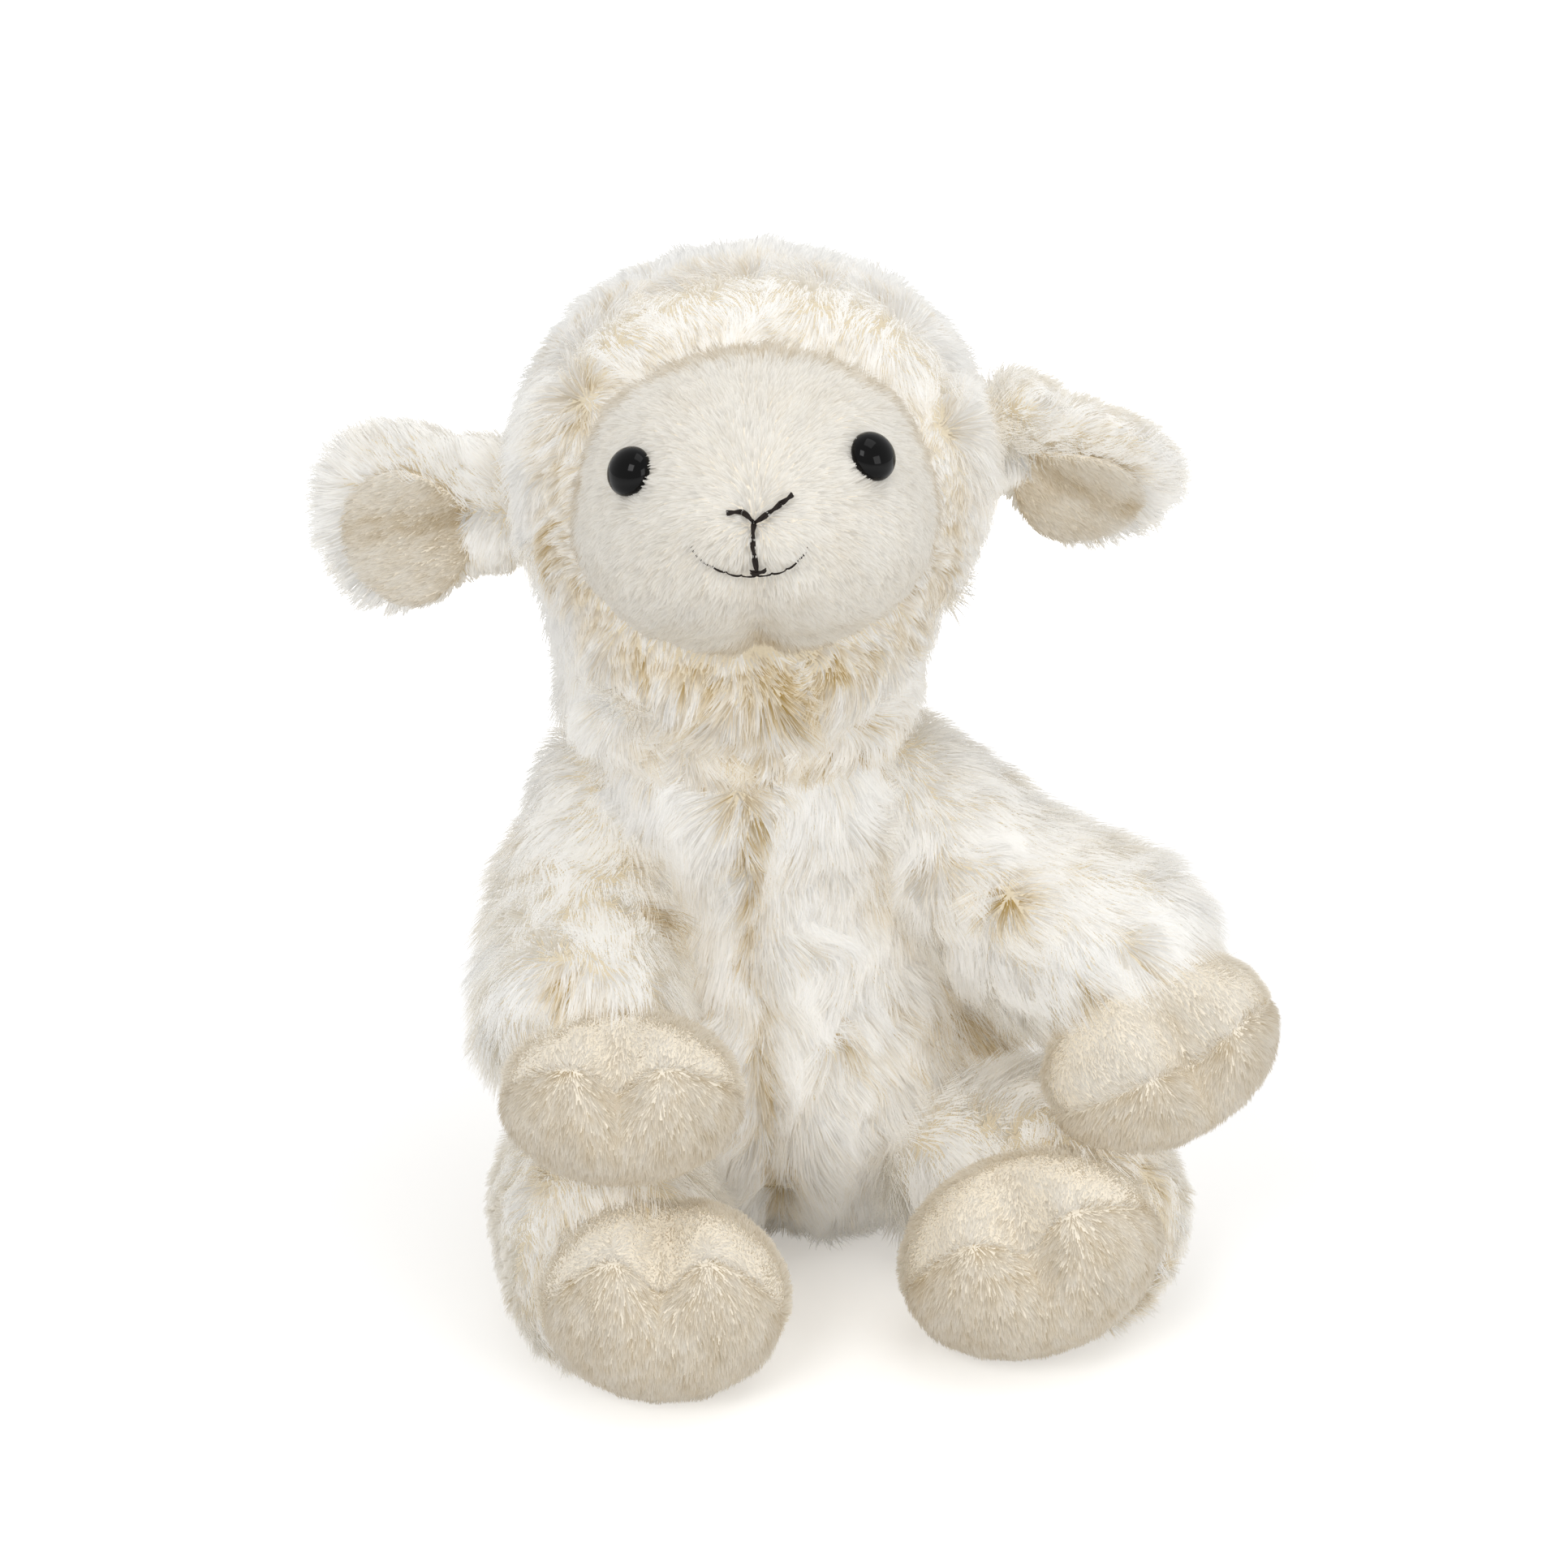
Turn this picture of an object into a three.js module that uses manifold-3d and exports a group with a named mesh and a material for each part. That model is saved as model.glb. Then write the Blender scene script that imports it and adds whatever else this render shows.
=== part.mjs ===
// A sitting plush lamb: long-pile covers, a short-pile face and ear linings, and cloven hooves.
// Millimetres, +Z up. The toy looks along -Y and its left side is +X.
// The origin is on the floor, under the middle of the seat.

import * as THREE from 'three';
import { mergeVertices } from 'three/addons/utils/BufferGeometryUtils.js';
import Module from 'manifold-3d';

const wasm = await Module();
wasm.setup();

// Driving dimensions

const clearance = 0.4;        // between two sewn pieces that don't move
const runningClearance = 0.8; // between a ball of stuffing and the socket that it turns in
const rubClearance = 2;       // between the body and a limb that sweeps past it
const floorPress = 0.5;       // how deep a soft form is pressed flat by the floor
const overrun = 300;          // how far a cutting block runs past the toy

// Body: a pear that leans a little towards the toy's right
const bellyRadius = 46;
const bellyHeight = 32;
const seatRadius = 29;
const waistRadius = 39;
const waistHeight = 68;
const chestRadius = 31;
const chestHeight = 100;
const neckHeight = 122;
const neckRadius = 31;
const collarRise = 10;
const bodyDepthShare = 0.92;
const seatSetback = 3;
const bodyLean = -13;
const bodyTip = -11;
const bodyWall = 6;
const pouchHeight = 22;

// Head: a fur hood, wide at the ears and narrow at the neck
const headRise = 50;
const headShift = 3.5;
const hoodRadius = 50.5;
const hoodCrownRise = 47;
const hoodDepthShare = 0.98;
const jawRadius = 39;
const jawDrop = 40;
const rimRadius = 35.5;
const rimDrop = 4;
const hoodWall = 6;
const crownRiseShares = [0.52, 0.8];

// Face: a short-pile panel that stands out of the hood
const facePitchDeg = -16;
const faceRollDeg = -3.5;
const faceHalfWidth = 38.5;
const faceHalfHeight = 34;
const faceReach = 40;
const faceForwardShare = 0.44;
const faceDropShare = 0.15;
const faceWall = 3.2;
const muzzleShare = 0.15;
const cheekShare = 0.07;
const chinShare = 0.1;
const swellShares = {
  muzzle: { toward: [0, -1, -0.25], widthShare: 0.5 },
  rightCheek: { toward: [-0.6, -0.7, -0.55], widthShare: 0.4 },
  leftCheek: { toward: [0.6, -0.7, -0.55], widthShare: 0.4 },
  chin: { toward: [0, -0.5, -0.85], widthShare: 0.25 },
};

// Eyes: domed buttons on shanks, each held by a washer
const eyeRadius = 4.8;
const eyeHeight = 3.6;
const eyeRim = 0.8;
const eyeFlareShare = 0.85;
const eyeSpreadShare = 0.585;
const eyeRiseShare = 0.22;
const shankRadius = 1.6;
const shankLength = 7.5;
const washerRadius = 6;
const washerThickness = 1.4;

// Embroidery: thread laid on the muzzle, as shares of the face's half width and half height
const threadRadius = 0.6;
const noseRightShares = [[-0.13, -0.03], [-0.05, -0.03], [0, -0.09]];
const noseLeftShares = [[0.18, 0.02], [0.1, -0.02], [0, -0.09]];
const lipShares = [[0, -0.09], [-0.01, -0.19], [0, -0.35]];
const smileShares = [
  [-0.31, -0.19],
  [-0.26, -0.28],
  [-0.1, -0.37],
  [0.1, -0.37],
  [0.2, -0.31],
  [0.25, -0.24],
];

// Ears
const earLength = 44;
const earHalfWidth = 22.5;
const earHalfThickness = 5.5;
const earCup = 5;
const earRootRadius = 8;
const earSink = 5;
const earNeckLength = 1;
const earRootShare = 0.62;
const earOpenShare = 0.6;
const liningShare = 0.8;
const liningStartShare = 0.16;
const liningHalfThickness = 2.4;

// Arms
const armRootRadius = 14;
const armMidRadius = 18;
const armCuffRadius = 20.5;
const armUpperLength = 25;
const armLowerLength = 27;
const armHoofReach = 25;
const armWall = 5;
const shoulderOutset = 5;
const shoulderGap = 5.5;
const handHalfWidth = 24.5;
const handHalfLength = 19;
const handHalfHeight = 17.5;

// Legs
const legRootRadius = 20;
const legMidRadius = 24;
const legCuffRadius = 23.5;
const legUpperLength = 19;
const legLowerLength = 16;
const legHoofReach = 24;
const legWall = 5;
const crotchHalfWidth = 14;
const hipInset = 13;
const footHalfWidth = 25.5;
const footHalfLength = 21.5;
const footHalfHeight = 20;

// Hooves: an upper with two toes and a flat sole, sewn round their edge
const hoofWall = 3;
const hoofNeckShare = 0.7;
const cleftShare = 0.3;
const cleftWidthShare = 0.2;

// Tail
const tailLength = 30;
const tailRadius = 8.5;
const tailRootRadius = 5.5;
const tailHeight = 30;
const tailSink = 3;
const tailRunShare = 0.5;
const tailDropShare = 0.35;

// How each limb and ear lies in the sitting pose: splay is outwards, drop is downwards.
// The sole share is how far below a hoof's middle its seam runs.
const armPoses = {
  right: { splayDeg: [1, 3, -18], dropDeg: [38, 29, 25], toeLiftDeg: 45, toeTurnDeg: 0, rollDeg: 0, soleShare: 0 },
  left: { splayDeg: [52, 56, 40], dropDeg: [39, 20, 31], toeLiftDeg: 25, toeTurnDeg: 25, rollDeg: -20, soleShare: 0 },
};
const legPoses = {
  right: { splayDeg: [25, -10, -32], toeLiftDeg: 65, toeTurnDeg: 0, rollDeg: 0, soleShare: 0.25 },
  left: { splayDeg: [62, 30, -36], toeLiftDeg: 45, toeTurnDeg: 5, rollDeg: -18, soleShare: 0 },
};
const earPoses = {
  right: { droopDeg: 4, twistDeg: 10, riseShare: -0.16 },
  left: { droopDeg: 24, twistDeg: 40, riseShare: 0.2 },
};

// How finely the soft forms are faceted: sides around, rings along
const bodyFacets = [18, 11];
const hollowFacets = [10, 7];
const faceFacets = [16, 10];
const jointFacets = [16, 8];
const neckFacets = [20, 10];
const leafFacets = [14, 6];
const hoofFacets = [16, 6];
const hoofHollowFacets = [8, 4];
const liningFacets = [12, 4];
const limbFacets = [10, 3];
const limbHollowFacets = [7, 2];
const hollowJointFacets = [7, 4];
const buttonSides = 12;
const domeRings = 4;
const capTurnsDeg = [60, 30];
const profileSamples = 200;
const halvings = 40;
const fadeShare = 0.6;

// Materials

const longPile = new THREE.MeshStandardMaterial({ color: 0xf3efe6, roughness: 1, metalness: 0 });
const shortPile = new THREE.MeshStandardMaterial({ color: 0xe7dccb, roughness: 0.95, metalness: 0 });
const stuffing = new THREE.MeshStandardMaterial({ color: 0xf8f8f4, roughness: 1, metalness: 0 });
const pouchCloth = new THREE.MeshStandardMaterial({ color: 0xd9d2c2, roughness: 0.9, metalness: 0 });
const blackPlastic = new THREE.MeshStandardMaterial({ color: 0x0b0a0a, roughness: 0.08, metalness: 0 });
const washerPlastic = new THREE.MeshStandardMaterial({ color: 0xe9e9e6, roughness: 0.5, metalness: 0 });
const blackThread = new THREE.MeshStandardMaterial({ color: 0x161413, roughness: 0.7, metalness: 0 });

// Shared tools

const radians = THREE.MathUtils.degToRad;

function point(x, y, z) {
  return new THREE.Vector3(x, y, z);
}

// A closed geometry as a solid, with its faces turned outwards
function solidOf(geometry) {
  const bare = geometry.clone();
  bare.deleteAttribute('normal');
  bare.deleteAttribute('uv');
  const merged = mergeVertices(bare);
  const vertProperties = new Float32Array(merged.attributes.position.array);
  const triVerts = new Uint32Array(merged.index.array);
  const solid = new wasm.Manifold(new wasm.Mesh({ numProp: 3, vertProperties, triVerts }));
  if (solid.volume() > 0) {
    return solid;
  }
  triVerts.reverse();
  return new wasm.Manifold(new wasm.Mesh({ numProp: 3, vertProperties, triVerts }));
}

// The largest connected body, without the crumbs that a cut can leave
function mainBody(solid) {
  return solid.decompose().reduce((best, next) => (next.volume() > best.volume() ? next : best));
}

// Moves every vertex of a geometry to where place puts it
function reshape(geometry, place) {
  const position = geometry.attributes.position;
  const v = point(0, 0, 0);
  for (let i = 0; i < position.count; i++) {
    v.fromBufferAttribute(position, i);
    place(v);
    position.setXYZ(i, v.x, v.y, v.z);
  }
  return geometry;
}

// A sphere whose unit directions are moved out to a form's surface
function roundForm([around, along], place) {
  return reshape(new THREE.SphereGeometry(1, around, along).rotateX(Math.PI / 2), place);
}

function ball(centre, radius, facets) {
  const geometry = roundForm(facets, (v) => v.multiplyScalar(radius));
  return solidOf(geometry.translate(centre.x, centre.y, centre.z));
}

function block(low, high, matrix = new THREE.Matrix4()) {
  const size = high.clone().sub(low);
  const middle = low.clone().add(high).divideScalar(2);
  const geometry = new THREE.BoxGeometry(size.x, size.y, size.z);
  return solidOf(geometry.translate(middle.x, middle.y, middle.z).applyMatrix4(matrix));
}

function above(height, matrix) {
  return block(point(-overrun, -overrun, height), point(overrun, overrun, overrun), matrix);
}

function below(height, matrix) {
  return block(point(-overrun, -overrun, -overrun), point(overrun, overrun, height), matrix);
}

// A turned profile moved in by an inset, which fades out towards the axis
function turnedForm(profile, inset, [around, along], place) {
  const places = profile.getPoints(along);
  const widest = Math.max(...places.map((p) => p.x));
  const low = places[0].y;
  const span = places[along].y - low;
  const moved = places.map((p) => {
    const fade = Math.min(p.x / (widest * fadeShare), 1);
    const height = low + inset + ((p.y - low) * (span - 2 * inset)) / span;
    return new THREE.Vector2(Math.max(p.x - inset * fade, 0), height);
  });
  moved[0].x = 0;
  moved[along].x = 0;
  return solidOf(reshape(new THREE.LatheGeometry(moved, around).rotateX(Math.PI / 2), place));
}

// A limb: rings along a route with rounded ends, swelling and tapering with its radii
function limbForm(route, radii, inset, [around, along]) {
  const path = new THREE.CatmullRomCurve3(route);
  const swell = new THREE.CatmullRomCurve3(radii.map((radius) => point(radius, 0, 0)));
  const rings = [];
  for (const turn of capTurnsDeg) {
    rings.push({ t: 0, push: -Math.sin(radians(turn)), share: Math.cos(radians(turn)) });
  }
  for (let i = 0; i <= along; i++) {
    rings.push({ t: i / along, push: 0, share: 1 });
  }
  for (const turn of capTurnsDeg.toReversed()) {
    rings.push({ t: 1, push: Math.sin(radians(turn)), share: Math.cos(radians(turn)) });
  }
  const positions = [];
  const pole = (t, push) => {
    const radius = swell.getPoint(t).x - inset;
    positions.push(...path.getPoint(t).addScaledVector(path.getTangent(t), push * radius).toArray());
  };
  pole(0, -1);
  for (const { t, push, share } of rings) {
    const heading = path.getTangent(t);
    const radius = swell.getPoint(t).x - inset;
    const centre = path.getPoint(t).addScaledVector(heading, push * radius);
    const across = point(-heading.y, heading.x, 0).normalize();
    const upward = heading.clone().cross(across);
    for (let s = 0; s < around; s++) {
      const turn = (2 * Math.PI * s) / around;
      const v = centre.clone().addScaledVector(across, Math.cos(turn) * share * radius);
      v.addScaledVector(upward, Math.sin(turn) * share * radius);
      positions.push(...v.toArray());
    }
  }
  pole(1, 1);
  const faces = [];
  const end = rings.length * around;
  for (let s = 0; s < around; s++) {
    const next = (s + 1) % around;
    faces.push(0, 1 + next, 1 + s);
    for (let start = 1; start + around <= end; start += around) {
      faces.push(start + s, start + next, start + around + s);
      faces.push(start + next, start + around + next, start + around + s);
    }
    faces.push(end + 1, end + 1 - around + s, end + 1 - around + next);
  }
  const geometry = new THREE.BufferGeometry();
  geometry.setAttribute('position', new THREE.Float32BufferAttribute(positions, 3));
  geometry.setIndex(faces);
  return solidOf(geometry);
}

// The next place along a limb, on the side -1 (right) or 1 (left)
function step(from, length, side, splayDeg, dropDeg) {
  const level = Math.cos(radians(dropDeg)) * length;
  return point(
    from.x + side * Math.sin(radians(splayDeg)) * level,
    from.y - Math.cos(radians(splayDeg)) * level,
    from.z - Math.sin(radians(dropDeg)) * length,
  );
}

// A group inside another one, with its origin at a place of the toy's own frame
function frameAt(parent, position) {
  const group = new THREE.Group();
  parent.updateMatrixWorld(true);
  group.position.copy(parent.worldToLocal(position.clone()));
  parent.add(group);
  group.updateMatrixWorld(true);
  return group;
}

// Adds a solid made in the toy's own frame to a group, as a named mesh
function addPart(group, name, solid, finish) {
  const data = mainBody(solid).getMesh();
  const geometry = new THREE.BufferGeometry();
  geometry.setAttribute('position', new THREE.BufferAttribute(new Float32Array(data.vertProperties), 3));
  geometry.setIndex(new THREE.BufferAttribute(new Uint32Array(data.triVerts), 1));
  geometry.applyMatrix4(group.matrixWorld.clone().invert());
  geometry.computeVertexNormals();
  const mesh = new THREE.Mesh(geometry, finish.clone());
  mesh.name = name;
  group.add(mesh);
}

// Places that the pieces share

function bodyCentre(height) {
  const share = height / neckHeight;
  return point(bodyLean * share, seatSetback + bodyTip * share, height);
}

const collarHeight = neckHeight + collarRise;
const bodyProfile = new THREE.SplineCurve([
  new THREE.Vector2(0, -floorPress),
  new THREE.Vector2(seatRadius, 0),
  new THREE.Vector2(bellyRadius, bellyHeight),
  new THREE.Vector2(waistRadius, waistHeight),
  new THREE.Vector2(chestRadius, chestHeight),
  new THREE.Vector2(0, collarHeight - collarRise / 2),
]);

function bodyRadiusAt(height) {
  const places = bodyProfile.getPoints(profileSamples);
  return places.reduce((best, p) => (Math.abs(p.y - height) < Math.abs(best.y - height) ? p : best)).x;
}

const neck = bodyCentre(neckHeight);
const headCentre = point(neck.x + headShift, neck.y, neckHeight + headRise);
const rimHeight = neckHeight - rimDrop;
const shoulderHeight = rimHeight - shoulderGap - armRootRadius;
const bellyFront = seatSetback - bellyRadius * bodyDepthShare;
const sides = { right: -1, left: 1 };

// Groups: each moving piece turns about its own group's origin

const lamb = new THREE.Group();
const bodyFrame = frameAt(lamb, point(0, 0, 0));
const neckFrame = frameAt(bodyFrame, neck);
const headFrame = frameAt(neckFrame, headCentre);
const faceFrame = frameAt(headFrame, headCentre);
faceFrame.rotation.set(radians(facePitchDeg), radians(faceRollDeg), 0);
faceFrame.updateMatrixWorld(true);

// Hooves: x runs across the two toes, -y towards their tips and z away from the sole

function layHoof(position, side, pose, half) {
  const stance = new THREE.Object3D();
  stance.position.copy(position);
  const turn = side * radians(pose.toeTurnDeg);
  stance.rotation.set(-radians(pose.toeLiftDeg), radians(pose.rollDeg), turn, 'ZYX');
  stance.updateMatrix();
  return { matrix: stance.matrix, half, seam: -pose.soleShare * half.z };
}

function hoofForm(hoof, inset, facets) {
  const geometry = roundForm(facets, (v) => {
    const toe = Math.max(-v.y, 0);
    const valley = Math.exp(-((v.x / cleftWidthShare) ** 2)) * toe * toe;
    const length = (hoof.half.y - inset) * (1 - cleftShare * valley);
    v.set(v.x * (hoof.half.x - inset), v.y * length, v.z * (hoof.half.z - inset));
  });
  return solidOf(geometry.applyMatrix4(hoof.matrix));
}

// Legs and arms as they lie

function layLeg(name) {
  const side = sides[name];
  const pose = legPoses[name];
  const spread = crotchHalfWidth + runningClearance + legRootRadius;
  const root = point(side * spread, bellyFront + hipInset, legMidRadius - floorPress);
  const knee = step(root, legUpperLength, side, pose.splayDeg[0], 0);
  const ankle = step(knee, legLowerLength, side, pose.splayDeg[1], 0);
  const foot = step(ankle, legHoofReach, side, pose.splayDeg[2], 0);
  ankle.z = legCuffRadius - floorPress;
  const lift = radians(pose.toeLiftDeg);
  const half = point(footHalfWidth, footHalfLength, footHalfHeight);
  foot.z = Math.hypot(half.y * Math.sin(lift), half.z * Math.cos(lift)) - floorPress;
  return {
    root,
    side,
    radii: [legRootRadius, legMidRadius, legCuffRadius],
    route: [root, knee, ankle],
    hoof: layHoof(foot, side, pose, half),
  };
}

function layArm(name) {
  const side = sides[name];
  const pose = armPoses[name];
  const root = bodyCentre(shoulderHeight);
  root.x += side * (bodyRadiusAt(shoulderHeight) + shoulderOutset);
  const elbow = step(root, armUpperLength, side, pose.splayDeg[0], pose.dropDeg[0]);
  const wrist = step(elbow, armLowerLength, side, pose.splayDeg[1], pose.dropDeg[1]);
  const hand = step(wrist, armHoofReach, side, pose.splayDeg[2], pose.dropDeg[2]);
  return {
    root,
    side,
    radii: [armRootRadius, armMidRadius, armCuffRadius],
    route: [root, elbow, wrist],
    hoof: layHoof(hand, side, pose, point(handHalfWidth, handHalfLength, handHalfHeight)),
  };
}

const legs = { right: layLeg('right'), left: layLeg('left') };
const arms = { right: layArm('right'), left: layArm('left') };
const floor = below(0);

function limbOutside(limb, grow) {
  return limbForm(limb.route, limb.radii, -grow, limbFacets).add(hoofForm(limb.hoof, -grow, hoofFacets));
}

// The room that a leg needs as it swings from sitting to hanging
function legRoom(leg, grow, facets) {
  const inner = leg.root.x - leg.side * (legRootRadius + grow);
  const outer = leg.side * overrun;
  const low = point(Math.min(inner, outer), -overrun, -overrun);
  const high = point(Math.max(inner, outer), leg.root.y + legRootRadius + grow, leg.root.z);
  const tube = limbForm(leg.route, leg.radii, -grow, limbFacets);
  return block(low, high).add(tube).add(ball(leg.root, legRootRadius + grow, facets));
}

// Tail

const tailRoot = bodyCentre(tailHeight);
tailRoot.y += bodyRadiusAt(tailHeight) * bodyDepthShare - tailSink;
const tailTip = tailRoot.clone().add(point(0, tailLength * tailRunShare, -tailLength * tailDropShare));

// Body cover, its stuffing and the pouch of beans in the seat

function bodyForm(inset, facets) {
  return turnedForm(bodyProfile, inset, facets, (v) => {
    const centre = bodyCentre(v.z);
    v.set(centre.x + v.x, centre.y + v.y * bodyDepthShare, v.z);
  });
}

function bodyOutside(grow) {
  return bodyForm(-grow, bodyFacets)
    .add(ball(neck, neckRadius + grow, neckFacets))
    .subtract(above(collarHeight + grow));
}

// Everything that is set into the body, each a little larger than the piece itself
function bodySockets(grow, facets) {
  let room = ball(tailRoot, tailRootRadius + grow, facets);
  for (const name of Object.keys(sides)) {
    room = room.add(ball(arms[name].root, armRootRadius + grow, facets));
    room = room.add(legRoom(legs[name], grow, facets));
  }
  return room;
}

const wadRadius = neckRadius - bodyWall;
const wadRoom = ball(neck, wadRadius + runningClearance, neckFacets);
const bodyHollow = bodyForm(bodyWall, hollowFacets)
  .subtract(bodySockets(runningClearance + bodyWall, hollowJointFacets));
const bodyCover = bodyOutside(0)
  .subtract(bodySockets(runningClearance, jointFacets))
  .subtract(floor)
  .subtract(bodyHollow)
  .subtract(wadRoom);
const bodyFilling = bodyForm(bodyWall + clearance, hollowFacets)
  .subtract(bodySockets(runningClearance + bodyWall + clearance, hollowJointFacets))
  .subtract(wadRoom);
addPart(bodyFrame, 'torso_cover', bodyCover, longPile);
addPart(bodyFrame, 'torso_stuffing', bodyFilling.subtract(below(pouchHeight)), stuffing);
addPart(bodyFrame, 'seat_bean_pouch', bodyFilling.subtract(above(pouchHeight - clearance)), pouchCloth);

// Neck stuffing: a mushroom that turns in the collar and lets the head nod on its cap

const capBase = collarHeight + clearance;
const wadStem = ball(neck, wadRadius, neckFacets).subtract(above(capBase + clearance));
const wadCap = ball(neck, neckRadius, neckFacets).subtract(below(capBase));
addPart(neckFrame, 'neck_stuffing', wadStem.add(wadCap), stuffing);

// Head: hood and face

const hoodProfile = new THREE.SplineCurve([
  new THREE.Vector2(0, rimHeight - 3 * hoodWall),
  new THREE.Vector2(rimRadius, rimHeight - hoodWall),
  new THREE.Vector2(jawRadius, headCentre.z - jawDrop),
  new THREE.Vector2(hoodRadius, headCentre.z),
  ...crownRiseShares.map((share) => new THREE.Vector2(
    hoodRadius * Math.sqrt(1 - share * share),
    headCentre.z + hoodCrownRise * share,
  )),
  new THREE.Vector2(0, headCentre.z + hoodCrownRise),
]);

function hoodForm(inset, facets) {
  return turnedForm(hoodProfile, inset, facets, (v) => {
    const share = Math.min(Math.max((v.z - neckHeight) / headRise, 0), 1);
    v.set(neck.x + headShift * share + v.x, neck.y + v.y * hoodDepthShare, v.z);
  });
}

const faceCentre = point(0, -faceForwardShare * hoodRadius, -faceDropShare * hoodRadius);

// How far the face swells past its plain egg in a direction: muzzle, two cheeks and a dimpled chin
function faceSwell(direction) {
  const bump = ({ toward, widthShare }) => {
    const apart = direction.distanceTo(point(...toward).normalize());
    return Math.exp(-((apart / widthShare) ** 2));
  };
  const cheeks = cheekShare * (bump(swellShares.rightCheek) + bump(swellShares.leftCheek));
  return 1 + cheeks + muzzleShare * bump(swellShares.muzzle) - chinShare * bump(swellShares.chin);
}

function faceForm(inset, facets) {
  const geometry = roundForm(facets, (v) => {
    const swell = faceSwell(v);
    v.multiply(point(faceHalfWidth - inset, faceReach - inset, faceHalfHeight - inset));
    v.multiplyScalar(swell);
  });
  geometry.translate(faceCentre.x, faceCentre.y, faceCentre.z);
  return solidOf(geometry.applyMatrix4(faceFrame.matrixWorld));
}

// The front of the face at x and z of its own frame, found by halving
function onFace(x, z) {
  let near = faceCentre.y - 2 * faceReach;
  let far = faceCentre.y;
  for (let i = 0; i < halvings; i++) {
    const y = (near + far) / 2;
    const v = point(x, y, z).sub(faceCentre).divide(point(faceHalfWidth, faceReach, faceHalfHeight));
    if (v.length() < faceSwell(v.clone().normalize())) {
      far = y;
    } else {
      near = y;
    }
  }
  return point(x, far, z);
}

// Ears: a fur back with a short-pile lining, gathered at the root

function layEar(name) {
  const side = sides[name];
  const pose = earPoses[name];
  const riseShare = pose.riseShare;
  const reach = hoodRadius * Math.sqrt(1 - riseShare * riseShare) - earSink;
  const root = headCentre.clone().add(point(side * reach, 0, riseShare * hoodRadius));
  const lie = new THREE.Object3D();
  lie.position.copy(root);
  lie.rotation.set(radians(pose.twistDeg), side * radians(pose.droopDeg), 0, 'YXZ');
  lie.updateMatrix();
  return { side, root, frame: frameAt(headFrame, root), matrix: lie.matrix };
}

// A leaf that widens from its root, with its long edges curled forwards
function earLeaf(ear, half, start, forward, facets) {
  const geometry = roundForm(facets, (v) => {
    const run = (1 + v.x) / 2;
    const open = Math.sin(Math.min(run / earOpenShare, 1) * (Math.PI / 2));
    const z = v.z * half.z * (earRootShare + (1 - earRootShare) * open);
    const curl = earCup * (z / earHalfWidth) ** 2;
    v.set(ear.side * (start + run * 2 * half.x), v.y * half.y - curl - forward, z);
  });
  return solidOf(geometry.applyMatrix4(ear.matrix));
}

function earLining(ear, grow) {
  const half = point(
    (earLength / 2) * liningShare + grow,
    liningHalfThickness + grow,
    earHalfWidth * liningShare + grow,
  );
  const start = earSink + earNeckLength + earLength * liningStartShare - grow;
  return earLeaf(ear, half, start, earHalfThickness - liningHalfThickness / 2, liningFacets);
}

const ears = { right: layEar('right'), left: layEar('left') };
const earRoom = earRootRadius + runningClearance;
const earSockets = ball(ears.right.root, earRoom, jointFacets)
  .add(ball(ears.left.root, earRoom, jointFacets));

// Eyes and their washers

function eyeProfile(grow) {
  const places = [
    new THREE.Vector2(0, -shankLength - grow),
    new THREE.Vector2(shankRadius + grow, -shankLength - grow),
    new THREE.Vector2(shankRadius + grow, -eyeRim - grow),
    new THREE.Vector2(eyeRadius * eyeFlareShare + grow, -eyeRim - grow),
  ];
  for (let i = 0; i < domeRings; i++) {
    const turn = (i / domeRings) * (Math.PI / 2);
    const across = (eyeRadius + grow) * Math.cos(turn);
    places.push(new THREE.Vector2(across, (eyeHeight + grow) * Math.sin(turn)));
  }
  places.push(new THREE.Vector2(0, eyeHeight + grow));
  return places;
}

function washerProfile(grow) {
  const high = grow - faceWall - eyeRim;
  const low = high - washerThickness - 2 * grow;
  const bore = shankRadius + clearance - grow;
  const outer = washerRadius + grow;
  const corners = [[bore, low], [outer, low], [outer, high], [bore, high], [bore, low]];
  return corners.map(([radius, height]) => new THREE.Vector2(radius, height));
}

function eyeMatrix(side) {
  const x = side * eyeSpreadShare * faceHalfWidth;
  const z = faceCentre.z + eyeRiseShare * faceHalfHeight;
  const reach = eyeRadius / 2;
  const across = onFace(x + reach, z).sub(onFace(x - reach, z));
  const upward = onFace(x, z + reach).sub(onFace(x, z - reach));
  const lie = new THREE.Object3D();
  lie.position.copy(onFace(x, z));
  lie.quaternion.setFromUnitVectors(point(0, 1, 0), across.cross(upward).normalize());
  lie.updateMatrix();
  return faceFrame.matrixWorld.clone().multiply(lie.matrix);
}

function buttonForm(profile, matrix) {
  return solidOf(new THREE.LatheGeometry(profile, buttonSides).applyMatrix4(matrix));
}

const eyeMatrices = { right: eyeMatrix(-1), left: eyeMatrix(1) };

// Embroidery

function thread(shares, grow) {
  const path = new THREE.CatmullRomCurve3(shares.map(([across, rise]) => {
    const place = onFace(across * faceHalfWidth, faceCentre.z + rise * faceHalfHeight);
    return place.applyMatrix4(faceFrame.matrixWorld);
  }));
  const section = new THREE.Shape();
  section.absarc(0, 0, threadRadius + grow, 0, 2 * Math.PI);
  return solidOf(new THREE.ExtrudeGeometry(section, {
    steps: 2 * (shares.length - 1),
    curveSegments: 3,
    bevelEnabled: false,
    extrudePath: path,
  }));
}

function noseThreads(grow) {
  return thread(noseRightShares, grow).add(thread(noseLeftShares, grow)).add(thread(lipShares, grow));
}

// Cut and place the head's pieces

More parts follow.
